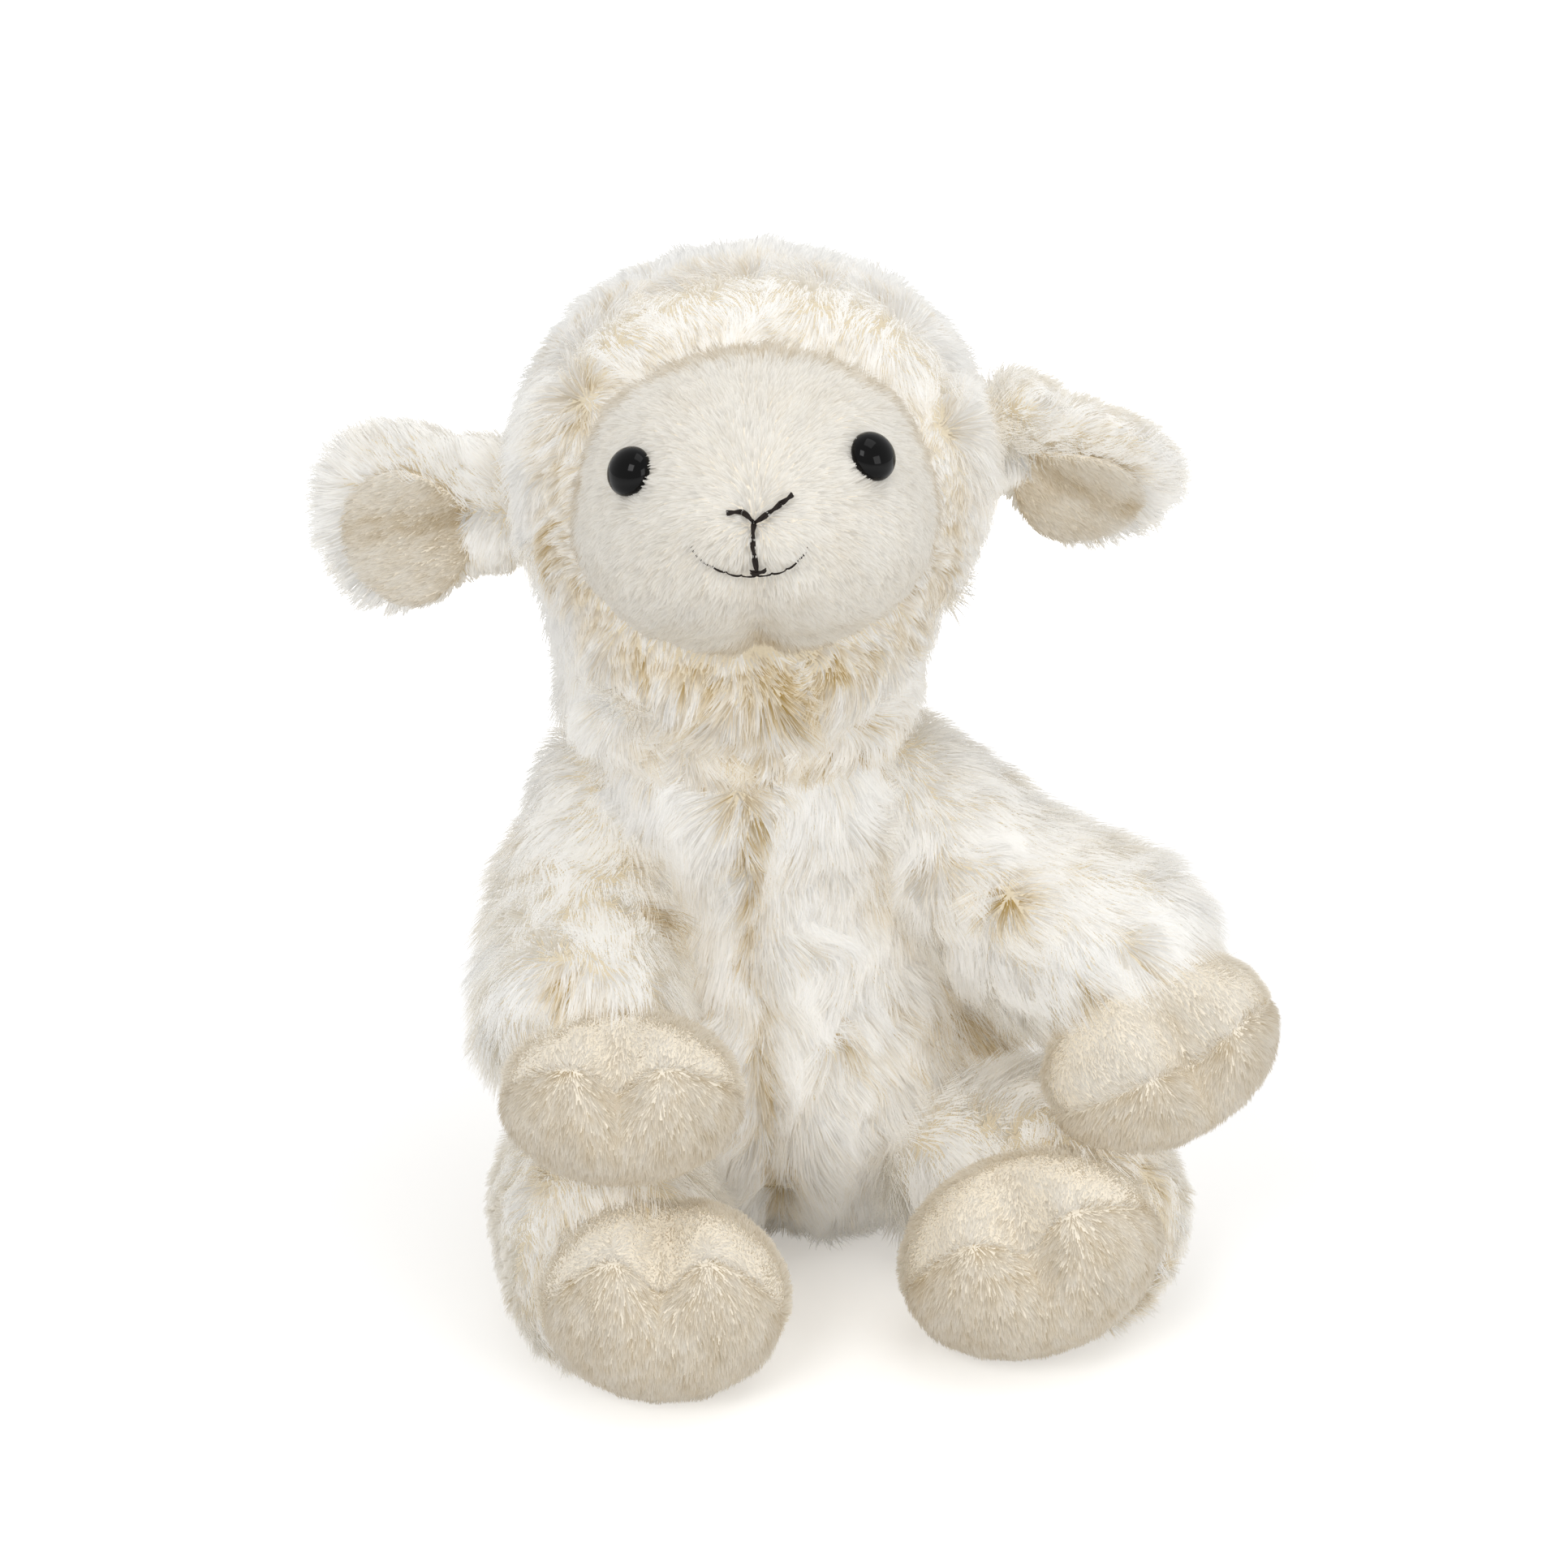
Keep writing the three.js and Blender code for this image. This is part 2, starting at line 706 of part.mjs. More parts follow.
const neckRoom = ball(neck, neckRadius + runningClearance, neckFacets).add(below(rimHeight));
const headCavity = hoodForm(hoodWall, hollowFacets);
let faceRoom = noseThreads(clearance).add(thread(smileShares, clearance));
let fillingRoom = neckRoom.add(earSockets);
for (const name of Object.keys(sides)) {
  const eyeRoom = buttonForm(eyeProfile(clearance), eyeMatrices[name]);
  const washerRoom = buttonForm(washerProfile(clearance), eyeMatrices[name]);
  faceRoom = faceRoom.add(eyeRoom).add(washerRoom);
  fillingRoom = fillingRoom.add(eyeRoom).add(washerRoom);
}

const hood = hoodForm(0, bodyFacets)
  .subtract(faceForm(-clearance, faceFacets))
  .subtract(headCavity)
  .subtract(neckRoom)
  .subtract(earSockets);
const face = faceForm(0, faceFacets)
  .subtract(faceForm(faceWall, hollowFacets))
  .subtract(headCavity)
  .subtract(faceRoom);
const headFilling = hoodForm(hoodWall + clearance, hollowFacets)
  .add(faceForm(faceWall + clearance, hollowFacets))
  .subtract(fillingRoom);
addPart(headFrame, 'head_hood', hood, longPile);
addPart(headFrame, 'head_stuffing', headFilling, stuffing);
addPart(faceFrame, 'face_panel', face, shortPile);
addPart(faceFrame, 'nose_embroidery', noseThreads(0), blackThread);
const smile = thread(smileShares, 0).subtract(noseThreads(clearance));
addPart(faceFrame, 'mouth_embroidery', smile, blackThread);
for (const name of Object.keys(sides)) {
  addPart(faceFrame, `eye_${name}`, buttonForm(eyeProfile(0), eyeMatrices[name]), blackPlastic);
  addPart(faceFrame, `eye_washer_${name}`, buttonForm(washerProfile(0), eyeMatrices[name]), washerPlastic);
}

for (const [name, ear] of Object.entries(ears)) {
  const half = point(earLength / 2, earHalfThickness, earHalfWidth);
  const leaf = earLeaf(ear, half, earSink + earNeckLength, 0, leafFacets)
    .add(ball(ear.root, earRootRadius, jointFacets));
  addPart(ear.frame, `ear_${name}_back`, leaf.subtract(earLining(ear, clearance)), longPile);
  addPart(ear.frame, `ear_${name}_lining`, earLining(ear, 0), shortPile);
}

// Cut and place the limbs

function addLimb(name, hoofName, limb, wall, room) {
  const frame = frameAt(bodyFrame, limb.root);
  const palm = point(0, 0, 0).applyMatrix4(limb.hoof.matrix);
  const route = [...limb.route, palm];
  const radii = [...limb.radii, limb.radii.at(-1) * hoofNeckShare];
  const hollow = limbForm(route, radii, wall, limbHollowFacets);
  const sleeve = limbForm(limb.route, limb.radii, 0, limbFacets)
    .subtract(hoofForm(limb.hoof, -clearance, hoofFacets))
    .subtract(hollow)
    .subtract(room);
  const shell = hoofForm(limb.hoof, 0, hoofFacets)
    .subtract(hoofForm(limb.hoof, hoofWall, hoofHollowFacets))
    .subtract(hollow)
    .subtract(room);
  const filling = limbForm(route, radii, wall + clearance, limbHollowFacets)
    .add(hoofForm(limb.hoof, hoofWall + clearance, hoofHollowFacets))
    .subtract(room);
  const { matrix, seam } = limb.hoof;
  addPart(frame, `${name}_sleeve`, sleeve, longPile);
  addPart(frame, `${name}_${hoofName}`, shell.subtract(below(seam, matrix)), shortPile);
  addPart(frame, `${name}_sole`, shell.subtract(above(seam - clearance, matrix)), shortPile);
  addPart(frame, `${name}_stuffing`, filling, stuffing);
}

const bodyForLegs = bodyOutside(clearance).subtract(bodySockets(0, jointFacets));
const bodyForArms = bodyOutside(rubClearance).subtract(bodySockets(0, jointFacets));
const legsForArms = limbOutside(legs.right, clearance).add(limbOutside(legs.left, clearance));
for (const name of Object.keys(sides)) {
  addLimb(`leg_${name}`, 'foot', legs[name], legWall, bodyForLegs.add(floor));
  addLimb(`arm_${name}`, 'hoof', arms[name], armWall, bodyForArms.add(legsForArms));
}

// Place the tail

const tailRadii = [tailRootRadius, tailRadius];
const tailForm = limbForm([tailRoot, tailTip], tailRadii, 0, limbFacets);
const tailTrim = bodyOutside(rubClearance).subtract(ball(tailRoot, tailRootRadius, jointFacets));
addPart(frameAt(bodyFrame, tailRoot), 'tail', tailForm.subtract(tailTrim), longPile);

export default lamb;
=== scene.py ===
import math
from functools import partial

import bmesh
import bpy
import numpy as np
from mathutils import Matrix, Vector, noise


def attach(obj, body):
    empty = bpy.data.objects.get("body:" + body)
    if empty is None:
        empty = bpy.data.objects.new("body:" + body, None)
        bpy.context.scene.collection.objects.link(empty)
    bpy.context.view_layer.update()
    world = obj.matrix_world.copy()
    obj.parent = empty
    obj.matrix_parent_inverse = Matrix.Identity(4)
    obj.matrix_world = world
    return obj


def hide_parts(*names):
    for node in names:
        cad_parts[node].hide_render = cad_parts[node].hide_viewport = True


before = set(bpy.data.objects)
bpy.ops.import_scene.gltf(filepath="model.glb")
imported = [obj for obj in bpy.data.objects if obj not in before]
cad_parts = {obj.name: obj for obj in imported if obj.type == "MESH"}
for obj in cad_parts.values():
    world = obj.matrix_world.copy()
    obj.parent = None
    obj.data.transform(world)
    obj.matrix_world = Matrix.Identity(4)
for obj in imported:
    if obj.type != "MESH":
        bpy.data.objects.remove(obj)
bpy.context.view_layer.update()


# Body cover: two halves of long off-white plush, sewn up the belly and up the back.
# It is stuffed firmly and sits pressed flat on the floor. The pile lies downwards and
# parts along the belly seam, where its tan roots show.

mm = 0.001
neck_height = 122
seat_setback = 3
body_lean = -13
body_tip = -11
body_depth = 0.92
collar_height = 132
both_sides = ((1, "left"), (-1, "right"))
floor_press = 0.5
long_pile_height = 5.0
body_outline = [(0, -floor_press), (29, 0), (46, 32), (39, 68), (31, 100), (30.5, 118), (27, 129),
                (0, collar_height)]


def body_centre(height):
    """Where the middle of the body lies at a height: it leans to the right and forwards."""
    share = np.asarray(height, float) / neck_height
    return np.stack([body_lean * share, seat_setback + body_tip * share], -1)


def circle(count):
    """Angles spaced evenly round a full turn."""
    return np.linspace(0, 2 * math.pi, count, endpoint=False)


def level_ring(turn, radius, height):
    """A ring of places round the upright axis; radius and height are one value or one for each."""
    return np.stack([radius * np.cos(turn), radius * np.sin(turn), np.zeros(len(turn)) + height], -1)


def through(points, count):
    """A smooth curve through the points, as count + 1 places."""
    points = np.asarray(points, float)
    t = np.linspace(0, len(points) - 1, count + 1)
    i = np.minimum(t.astype(int), len(points) - 2)
    w = (t - i)[:, None]
    p0, p1, p2 = points[np.maximum(i - 1, 0)], points[i], points[i + 1]
    p3 = points[np.minimum(i + 2, len(points) - 1)]
    v1, v2 = (p2 - p0) / 2, (p3 - p1) / 2
    return (2 * p1 - 2 * p2 + v1 + v2) * w**3 + (3 * p2 - 3 * p1 - 2 * v1 - v2) * w**2 + v1 * w + p1


def spun(outline, inset, around, along, place):
    """Rings of a turned cover: the outline moved in by an inset that fades towards the axis."""
    curve = through(outline, along)
    low, span = curve[0, 1], curve[-1, 1] - curve[0, 1]
    fade = np.minimum(curve[:, 0] / (curve[:, 0].max() * 0.6), 1)
    radius = np.maximum(curve[:, 0] - inset * fade, 0)
    radius[0] = radius[-1] = 0
    height = low + inset + (curve[:, 1] - low) * (span - 2 * inset) / span
    turn = circle(around)
    return place(np.array([level_ring(turn, r, h) for r, h in zip(radius, height)]))


def put_in(name, data):
    """A new piece of the scene that shows some data."""
    piece = bpy.data.objects.new(name, data)
    bpy.context.scene.collection.objects.link(piece)
    return piece


def closed_mesh(name, places, faces, finish):
    """A piece from places in millimetres, with its faces turned outwards."""
    mesh = bpy.data.meshes.new(name)
    mesh.from_pydata([tuple(p * mm) for p in places], [], faces)
    work = bmesh.new()
    work.from_mesh(mesh)
    bmesh.ops.recalc_face_normals(work, faces=work.faces)
    work.to_mesh(mesh)
    work.free()
    mesh.materials.append(finish)
    return put_in(name, mesh)


def closed_skin(name, rings, finish):
    """A closed mesh from rings of places in millimetres; the first and last ring are poles."""
    rings = np.asarray(rings)
    count, around = rings.shape[:2]
    places = [rings[0].mean(0), *rings[1:-1].reshape(-1, 3), rings[-1].mean(0)]
    last = len(places) - 1
    faces = []
    for s in range(around):
        n = (s + 1) % around
        faces.append((0, 1 + s, 1 + n))
        faces.append((last, last - around + n, last - around + s))
        for ring in range(count - 3):
            a = 1 + ring * around
            faces.append((a + s, a + around + s, a + around + n, a + n))
    skin = closed_mesh(name, places, faces, finish)
    skin.data.shade_smooth()
    return skin


def places_of(skin):
    """Vertex places in millimetres and vertex normals of a skin."""
    count = len(skin.data.vertices)
    places, normals = np.empty(count * 3), np.empty(count * 3)
    skin.data.vertices.foreach_get("co", places)
    skin.data.vertices.foreach_get("normal", normals)
    return places.reshape(-1, 3) / mm, normals.reshape(-1, 3)


def unit(v):
    """Directions, each one long."""
    return v / np.maximum(np.linalg.norm(v, axis=-1, keepdims=True), 1e-9)


def hump(apart, width):
    """1 where apart is 0, and falling away smoothly over a width."""
    return np.exp(-((apart / width) ** 2))


def ramp(value):
    """A value kept between 0 and 1."""
    return np.clip(value, 0, 1)


def body_place(p):
    """Places round the upright axis as places of the leaning body, kept above the floor."""
    centre = body_centre(p[..., 2])
    x = centre[..., 0] + p[..., 0]
    y = centre[..., 1] + p[..., 1] * body_depth
    return np.stack([x, y, np.maximum(p[..., 2], 0.2)], -1)


def outside_body(p, inset):
    """How far places lie outside the body's cover moved in by an inset, in millimetres."""
    curve = through(body_outline, 200)
    centre = body_centre(p[:, 2])
    apart = np.hypot(p[:, 0] - centre[:, 0], (p[:, 1] - centre[:, 1]) / body_depth)
    return apart - np.interp(p[:, 2], curve[:, 1], curve[:, 0], right=0) + inset


def wire(tree, kind, feeds=None, **settings):
    """Adds a node, sets it up and links or sets its inputs."""
    node = tree.nodes.new(kind)
    for key, value in settings.items():
        setattr(node, key, value)
    for key, value in (feeds or {}).items():
        if isinstance(value, bpy.types.NodeSocket):
            tree.links.new(value, node.inputs[key])
        else:
            node.inputs[key].default_value = value
    return node


def sums(tree, operation, *values):
    """A sum of the nodes' numbers."""
    return wire(tree, "ShaderNodeMath", dict(enumerate(values)), operation=operation).outputs[0]


def moves(tree, operation, *values):
    """A sum of the nodes' places or directions."""
    feeds = dict(enumerate(values))
    if operation == "SCALE":
        feeds = {0: values[0], "Scale": values[1]}
    return wire(tree, "ShaderNodeVectorMath", feeds, operation=operation).outputs[0]


def pile_tree():
    """Strands of pile: tapered ribbons that grow from a skin, lean with its comb and gather in tufts."""
    tree = bpy.data.node_groups.new("pile strands", "GeometryNodeTree")
    sockets = tree.interface
    sockets.new_socket("Geometry", in_out="INPUT", socket_type="NodeSocketGeometry")
    for kind, labels in (
        ("Float", ("Strands", "Length", "Width", "Lay", "Arch", "Tuft size", "Tuft sweep", "Stray",
                   "Clump spacing", "Clump pull", "Streak", "Floor")),
        ("Int", ("Steps", "Seed")),
        ("Material", ("Material",)),
    ):
        for label in labels:
            sockets.new_socket(label, in_out="INPUT", socket_type=f"NodeSocket{kind}")
    sockets.new_socket("Geometry", in_out="OUTPUT", socket_type="NodeSocketGeometry")
    plus, less, times = (partial(sums, tree, kind) for kind in ("ADD", "SUBTRACT", "MULTIPLY"))
    shared, most = (partial(sums, tree, kind) for kind in ("DIVIDE", "MAXIMUM"))
    joined, between, scaled = (partial(moves, tree, kind) for kind in ("ADD", "SUBTRACT", "SCALE"))
    one_long = partial(moves, tree, "NORMALIZE")
    given = tree.nodes.new("NodeGroupInput").outputs
    here = tree.nodes.new("GeometryNodeInputPosition").outputs[0]

    def kept(name, kind="FLOAT_VECTOR"):
        return wire(tree, "GeometryNodeInputNamedAttribute", {"Name": name}, data_type=kind).outputs[0]

    def keep(shape, name, value, kind="FLOAT_VECTOR", domain="POINT"):
        feeds = {"Geometry": shape, "Name": name, "Value": value}
        return wire(tree, "GeometryNodeStoreNamedAttribute", feeds, data_type=kind, domain=domain).outputs[0]

    def roots(per_area, seed):
        density = times(per_area, kept("thick", "FLOAT"))
        feeds = {"Mesh": given["Geometry"], "Density": density, "Seed": seed}
        spread = wire(tree, "GeometryNodeDistributePointsOnFaces", feeds, distribute_method="RANDOM")
        return keep(spread.outputs["Points"], "up", spread.outputs["Normal"])

    def off_floor(place):
        parts = wire(tree, "ShaderNodeSeparateXYZ", {0: place}).outputs
        height = most(parts[2], given["Floor"])
        return wire(tree, "ShaderNodeCombineXYZ", {0: parts[0], 1: parts[1], 2: height}).outputs[0]

    reach = times(given["Length"], kept("pile", "FLOAT"))
    grain = shared(1.0, given["Tuft size"])
    ripple = wire(tree, "ShaderNodeTexNoise", {"Vector": here, "Scale": grain, "Detail": 1.0})
    sweep = scaled(between(ripple.outputs["Color"], (0.5, 0.5, 0.5)), given["Tuft sweep"])
    rise = scaled(kept("up"), less(1.0, given["Lay"]))
    lean = scaled(kept("comb"), given["Lay"])
    heading = one_long(joined(joined(rise, lean), sweep))
    tip = joined(here, scaled(heading, reach))

    spacing = times(given["Clump spacing"], given["Clump spacing"])
    guides = roots(shared(1.0, spacing), plus(given["Seed"], 7.0))
    feeds = {"Geometry": guides, "Sample Position": here}
    nearest = wire(tree, "GeometryNodeSampleNearest", feeds, domain="POINT").outputs[0]
    feeds = {"Geometry": guides, "Value": tip, "Index": nearest}
    tip_of_guide = wire(tree, "GeometryNodeSampleIndex", feeds, data_type="FLOAT_VECTOR", domain="POINT")

    feeds = {"Min": (-1, -1, -1), "Max": (1, 1, 1), "Seed": given["Seed"]}
    chance = wire(tree, "FunctionNodeRandomValue", feeds, data_type="FLOAT_VECTOR").outputs[0]
    stray = scaled(chance, times(given["Stray"], reach))
    loose = joined(tip, stray)
    gather = scaled(between(tip_of_guide.outputs[0], loose), given["Clump pull"])
    end = off_floor(joined(loose, gather))
    lift = scaled(kept("up"), times(reach, given["Arch"]))
    halfway = scaled(joined(here, end), 0.5)
    middle = off_floor(joined(joined(lift, halfway), scaled(stray, 0.3)))
    facing = joined(kept("up"), scaled(chance, 0.45))
    across = one_long(moves(tree, "CROSS_PRODUCT", between(end, here), facing))
    luck = wire(tree, "FunctionNodeRandomValue", {"Seed": plus(given["Seed"], 3.0)}, data_type="FLOAT")
    spot = times(less(luck.outputs[1], 0.5), 0.2)
    streak = wire(tree, "ShaderNodeTexNoise", {"Vector": here, "Scale": 420.0, "Detail": 0.0}).outputs[0]
    streak = most(plus(times(less(streak, 0.5), given["Streak"]), 1.0), 0.1)
    tint = plus(times(kept("tone", "FLOAT"), streak), spot)

    points = roots(given["Strands"], given["Seed"])
    for label, value in (("root", here), ("end", end), ("middle", middle), ("across", across)):
        points = keep(points, label, value)
    points = keep(points, "tint", tint, "FLOAT")
    soft = joined(kept("up"), scaled(chance, 0.3))
    points = keep(points, "soft", one_long(joined(soft, scaled(sweep, 0.5))))
    feeds = {"Size X": 1.0, "Size Y": 1.0, "Vertices X": 2, "Vertices Y": given["Steps"]}
    ribbon = keep(wire(tree, "GeometryNodeMeshGrid", feeds).outputs["Mesh"], "place", here)
    strands = wire(tree, "GeometryNodeInstanceOnPoints", {"Points": points, "Instance": ribbon}).outputs[0]
    strands = wire(tree, "GeometryNodeRealizeInstances", {"Geometry": strands}).outputs[0]
    place = wire(tree, "ShaderNodeSeparateXYZ", {0: kept("place")}).outputs
    t = plus(place[1], 0.5)
    back = less(1.0, t)
    both = times(times(t, back), 2.0)
    curve = scaled(kept("root"), times(back, back))
    curve = joined(curve, scaled(kept("middle"), both))
    curve = joined(curve, scaled(kept("end"), times(t, t)))
    taper = less(1.0, times(times(t, t), 0.85))
    side = times(times(place[0], given["Width"]), taper)
    curve = joined(curve, scaled(kept("across"), side))
    strands = wire(tree, "GeometryNodeSetPosition", {"Geometry": strands, "Position": curve}).outputs[0]
    strands = wire(tree, "GeometryNodeSetShadeSmooth", {"Geometry": strands}).outputs[0]
    feeds = {"Mesh": strands, "Custom Normal": kept("soft")}
    strands = wire(tree, "GeometryNodeSetMeshNormal", feeds, mode="FREE", domain="POINT").outputs[0]
    u = wire(tree, "ShaderNodeClamp", {"Value": kept("tint", "FLOAT"), "Min": 0.02, "Max": 0.98}).outputs[0]
    u = plus(u, times(place[0], 0.02))
    v = plus(times(t, 0.96), 0.02)
    uv = wire(tree, "ShaderNodeCombineXYZ", {0: u, 1: v}).outputs[0]
    strands = keep(strands, "OFBake", uv, "FLOAT2", "CORNER")
    for name in ("up", "comb", "pile", "thick", "tone", "root", "end", "middle", "across", "tint", "soft",
                 "place"):
        strands = wire(tree, "GeometryNodeRemoveAttribute", {"Geometry": strands, "Name": name}).outputs[0]
    feeds = {"Geometry": strands, "Material": given["Material"]}
    wire(tree, "NodeGroupOutput", {"Geometry": wire(tree, "GeometryNodeSetMaterial", feeds).outputs[0]})
    return tree


strand_tree = pile_tree()


def comb_skin(skin, comb, pile, tone, thick=1.0):
    """Writes how the pile grows on a skin: its comb direction, length share, tone (tan roots and painted
    shade) and thickness.
    """
    places, normals = places_of(skin)
    comb = comb - normals * (comb * normals).sum(-1, keepdims=True)
    for name, kind, values in (
        ("comb", "FLOAT_VECTOR", unit(comb)),
        ("pile", "FLOAT", np.broadcast_to(pile, len(places))),
        ("tone", "FLOAT", np.broadcast_to(tone, len(places))),
        ("thick", "FLOAT", np.broadcast_to(thick, len(places))),
    ):
        layer = skin.data.attributes.get(name) or skin.data.attributes.new(name, kind, "POINT")
        field = "vector" if kind == "FLOAT_VECTOR" else "value"
        layer.data.foreach_set(field, np.ascontiguousarray(values, dtype=np.float32).ravel())


def grow(name, skin, body, finish, slot, seed, **sizes):
    """Grows the pile of a skin as a piece of its own."""
    coat = put_in(name, skin.data.copy())
    modifier = coat.modifiers.new("pile", "NODES")
    modifier.node_group = strand_tree
    values = {"Strands": 3.4e6, "Length": 9.5 * mm, "Width": 0.3 * mm, "Lay": 0.58, "Arch": 0.3,
              "Tuft size": 7 * mm, "Tuft sweep": 1.0, "Stray": 0.2, "Clump spacing": 2.8 * mm,
              "Clump pull": 0.35, "Streak": 5.0, "Floor": 0.3 * mm, "Steps": 3, "Seed": seed,
              "Material": finish}
    for key, value in sizes.items():
        values[key.replace("_", " ").capitalize()] = value
    for socket in strand_tree.interface.items_tree:
        if socket.in_out == "INPUT" and socket.name in values:
            modifier[socket.identifier] = values[socket.name]
    grown = bpy.data.meshes.new_from_object(coat.evaluated_get(bpy.context.evaluated_depsgraph_get()))
    coat.modifiers.clear()
    coat.data = grown
    grown.name = name
    coat.visible_shadow = False
    coat.visible_diffuse = False
    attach(coat, body)


def shade(code):
    """A colour code as linear light."""
    channels = [int(code[i:i + 2], 16) / 255 for i in (0, 2, 4)]
    return (*(c / 12.92 if c <= 0.04045 else ((c + 0.055) / 1.055) ** 2.4 for c in channels), 1)


def effect(name, inputs, outputs):
    """A shared shader effect: a node group with named inputs and outputs."""
    tree = bpy.data.node_groups.new(name, "ShaderNodeTree")
    for in_out, sockets in (("INPUT", inputs), ("OUTPUT", outputs)):
        for label, kind in sockets.items():
            tree.interface.new_socket(label, in_out=in_out, socket_type="NodeSocket" + kind)
    return tree, tree.nodes.new("NodeGroupInput").outputs, tree.nodes.new("NodeGroupOutput").inputs


def blended(tree, factor, low, high):
    """A colour between two others."""
    return wire(tree, "ShaderNodeMix", {0: factor, 6: low, 7: high}, data_type="RGBA").outputs[2]


root_to_tip, given, out = effect(
    "root to tip",
    {"Place": "Vector", "Clean root": "Color", "Clean tip": "Color", "Tan root": "Color", "Tan tip": "Color"},
    {"Color": "Color"})
parts = wire(root_to_tip, "ShaderNodeSeparateXYZ", {0: given["Place"]}).outputs
along = sums(root_to_tip, "POWER", parts[1], 0.7)
clean = blended(root_to_tip, along, given["Clean root"], given["Clean tip"])
along = sums(root_to_tip, "POWER", parts[1], 1.3)
tan = blended(root_to_tip, along, given["Tan root"], given["Tan tip"])
root_to_tip.links.new(blended(root_to_tip, parts[0], clean, tan), out["Color"])

knit_grain, given, out = effect(
    "knit grain", {"Loops": "Float", "Patches": "Float"}, {"Blend": "Float", "Height": "Float"})
place = knit_grain.nodes.new("ShaderNodeTexCoord").outputs["Object"]
feeds = {"Vector": place, "Scale": given["Loops"]}
loops = wire(knit_grain, "ShaderNodeTexVoronoi", feeds).outputs["Distance"]
fuzz = wire(knit_grain, "ShaderNodeTexNoise", {**feeds, "Detail": 6.0}).outputs[0]
feeds = {"Vector": place, "Scale": given["Patches"], "Detail": 4.0}
cloud = wire(knit_grain, "ShaderNodeTexNoise", feeds).outputs[0]
fuzz_part = sums(knit_grain, "MULTIPLY", fuzz, 0.4)
cloud_part = sums(knit_grain, "MULTIPLY", cloud, 0.6)
knit_grain.links.new(sums(knit_grain, "ADD", fuzz_part, cloud_part), out["Blend"])
knit_grain.links.new(sums(knit_grain, "ADD", loops, fuzz), out["Height"])


def new_finish(name, roughness, gloss):
    """A material, its nodes and its shader."""
    material = bpy.data.materials.new(name)
    material.use_nodes = True
    shader = material.node_tree.nodes["Principled BSDF"]
    shader.inputs["Roughness"].default_value = roughness
    shader.inputs["Specular IOR Level"].default_value = gloss
    return material, material.node_tree, shader


def pile_finish(name, clean_root, clean_tip, tan_root, tan_tip, sheen):
    """Pile: each strand's colour runs from its root to its tip, and from clean to tan across its UV map; the
    tan share carries tan roots and painted shade.
    """
    material, tree, shader = new_finish(name, 0.9, 0.15)
    shader.inputs["Sheen Weight"].default_value = sheen
    feeds = {"Place": wire(tree, "ShaderNodeUVMap", uv_map="OFBake").outputs[0],
             "Clean root": shade(clean_root), "Clean tip": shade(clean_tip),
             "Tan root": shade(tan_root), "Tan tip": shade(tan_tip)}
    group = wire(tree, "ShaderNodeGroup", feeds, node_tree=root_to_tip)
    tree.links.new(group.outputs[0], shader.inputs["Base Color"])
    through_light = wire(tree, "ShaderNodeBsdfTranslucent", {"Color": group.outputs[0]})
    both = wire(tree, "ShaderNodeMixShader", {0: 0.45, 1: shader.outputs[0], 2: through_light.outputs[0]})
    tree.links.new(both.outputs[0], tree.nodes["Material Output"].inputs["Surface"])
    return material


def cloth_finish(name, low, high, loops, patch, depth, roughness):
    """Cloth or fibre: two close colours in a fine grain with a shallow bump. Sizes are in millimetres."""
    material, tree, shader = new_finish(name, roughness, 0.2)
    feeds = {"Loops": 1 / (loops * mm), "Patches": 1 / (patch * mm)}
    grain = wire(tree, "ShaderNodeGroup", feeds, node_tree=knit_grain).outputs
    tree.links.new(blended(tree, grain["Blend"], shade(low), shade(high)), shader.inputs["Base Color"])
    feeds = {"Height": grain["Height"], "Strength": 0.4, "Distance": depth * mm}
    tree.links.new(wire(tree, "ShaderNodeBump", feeds).outputs[0], shader.inputs["Normal"])
    return material


long_pile = pile_finish("long pile", "f3f2ef", "fdfdfc", "b99b55", "f4ebd6", 0.3)
backing = cloth_finish("pile backing", "cfc0a0", "e4dac6", 1.1, 11, 0.4, 0.95)


def near(places, centre, radius):
    """1 at a centre, fading to 0 over a radius."""
    apart = np.linalg.norm(places - np.asarray(centre, float), axis=-1)
    return hump(apart, radius)


def patches(places, size, seed):
    """Soft random patches between 0 and 1."""
    shift = Vector((seed * 7.3, seed * 3.1, seed * 5.7))
    return np.array([noise.noise(Vector(p) / size + shift) * 0.5 + 0.5 for p in places])


def uneven(places, size, seed):
    """The same patches between -0.5 and 0.5."""
    return patches(places, size, seed) - 0.5


# Noise vectors start from the clock unless a seed is set.
noise.seed_set(1)


def swirl(places, size, seed):
    """Soft random directions, as pile takes where it has been ruffled."""
    shift = Vector((seed * 5.1, seed * 2.3, seed * 4.9))
    return np.array([noise.noise_vector(Vector(p) / size + shift) for p in places])


def cracks(places, size, seed):
    """Thin broken lines where the pile parts and its roots show, between 0 and 1."""
    apart = np.abs(patches(places, size, seed) - 0.5)
    return hump(apart, 0.035) * ramp(patches(places, size * 2, seed + 9) * 4 - 1.6)


def whorls(places, comb, tone, spots):
    """Places where the pile is brushed apart and its tan roots show: centre, radius and depth of tan."""
    for centre, radius, depth in spots:
        weight = near(places, centre, radius)
        away = unit(places - np.asarray(centre, float))
        comb = comb + away * (1.4 * weight)[:, None]
        tone = tone + depth * weight**2.5
    return comb, tone


def pushed(skin, amounts):
    """Moves a skin's surface out along its normals, in millimetres, and gives its new places."""
    places, normals = places_of(skin)
    skin.data.vertices.foreach_set("co", ((places + normals * amounts[:, None]) * mm).ravel())
    skin.data.update()
    return places_of(skin)


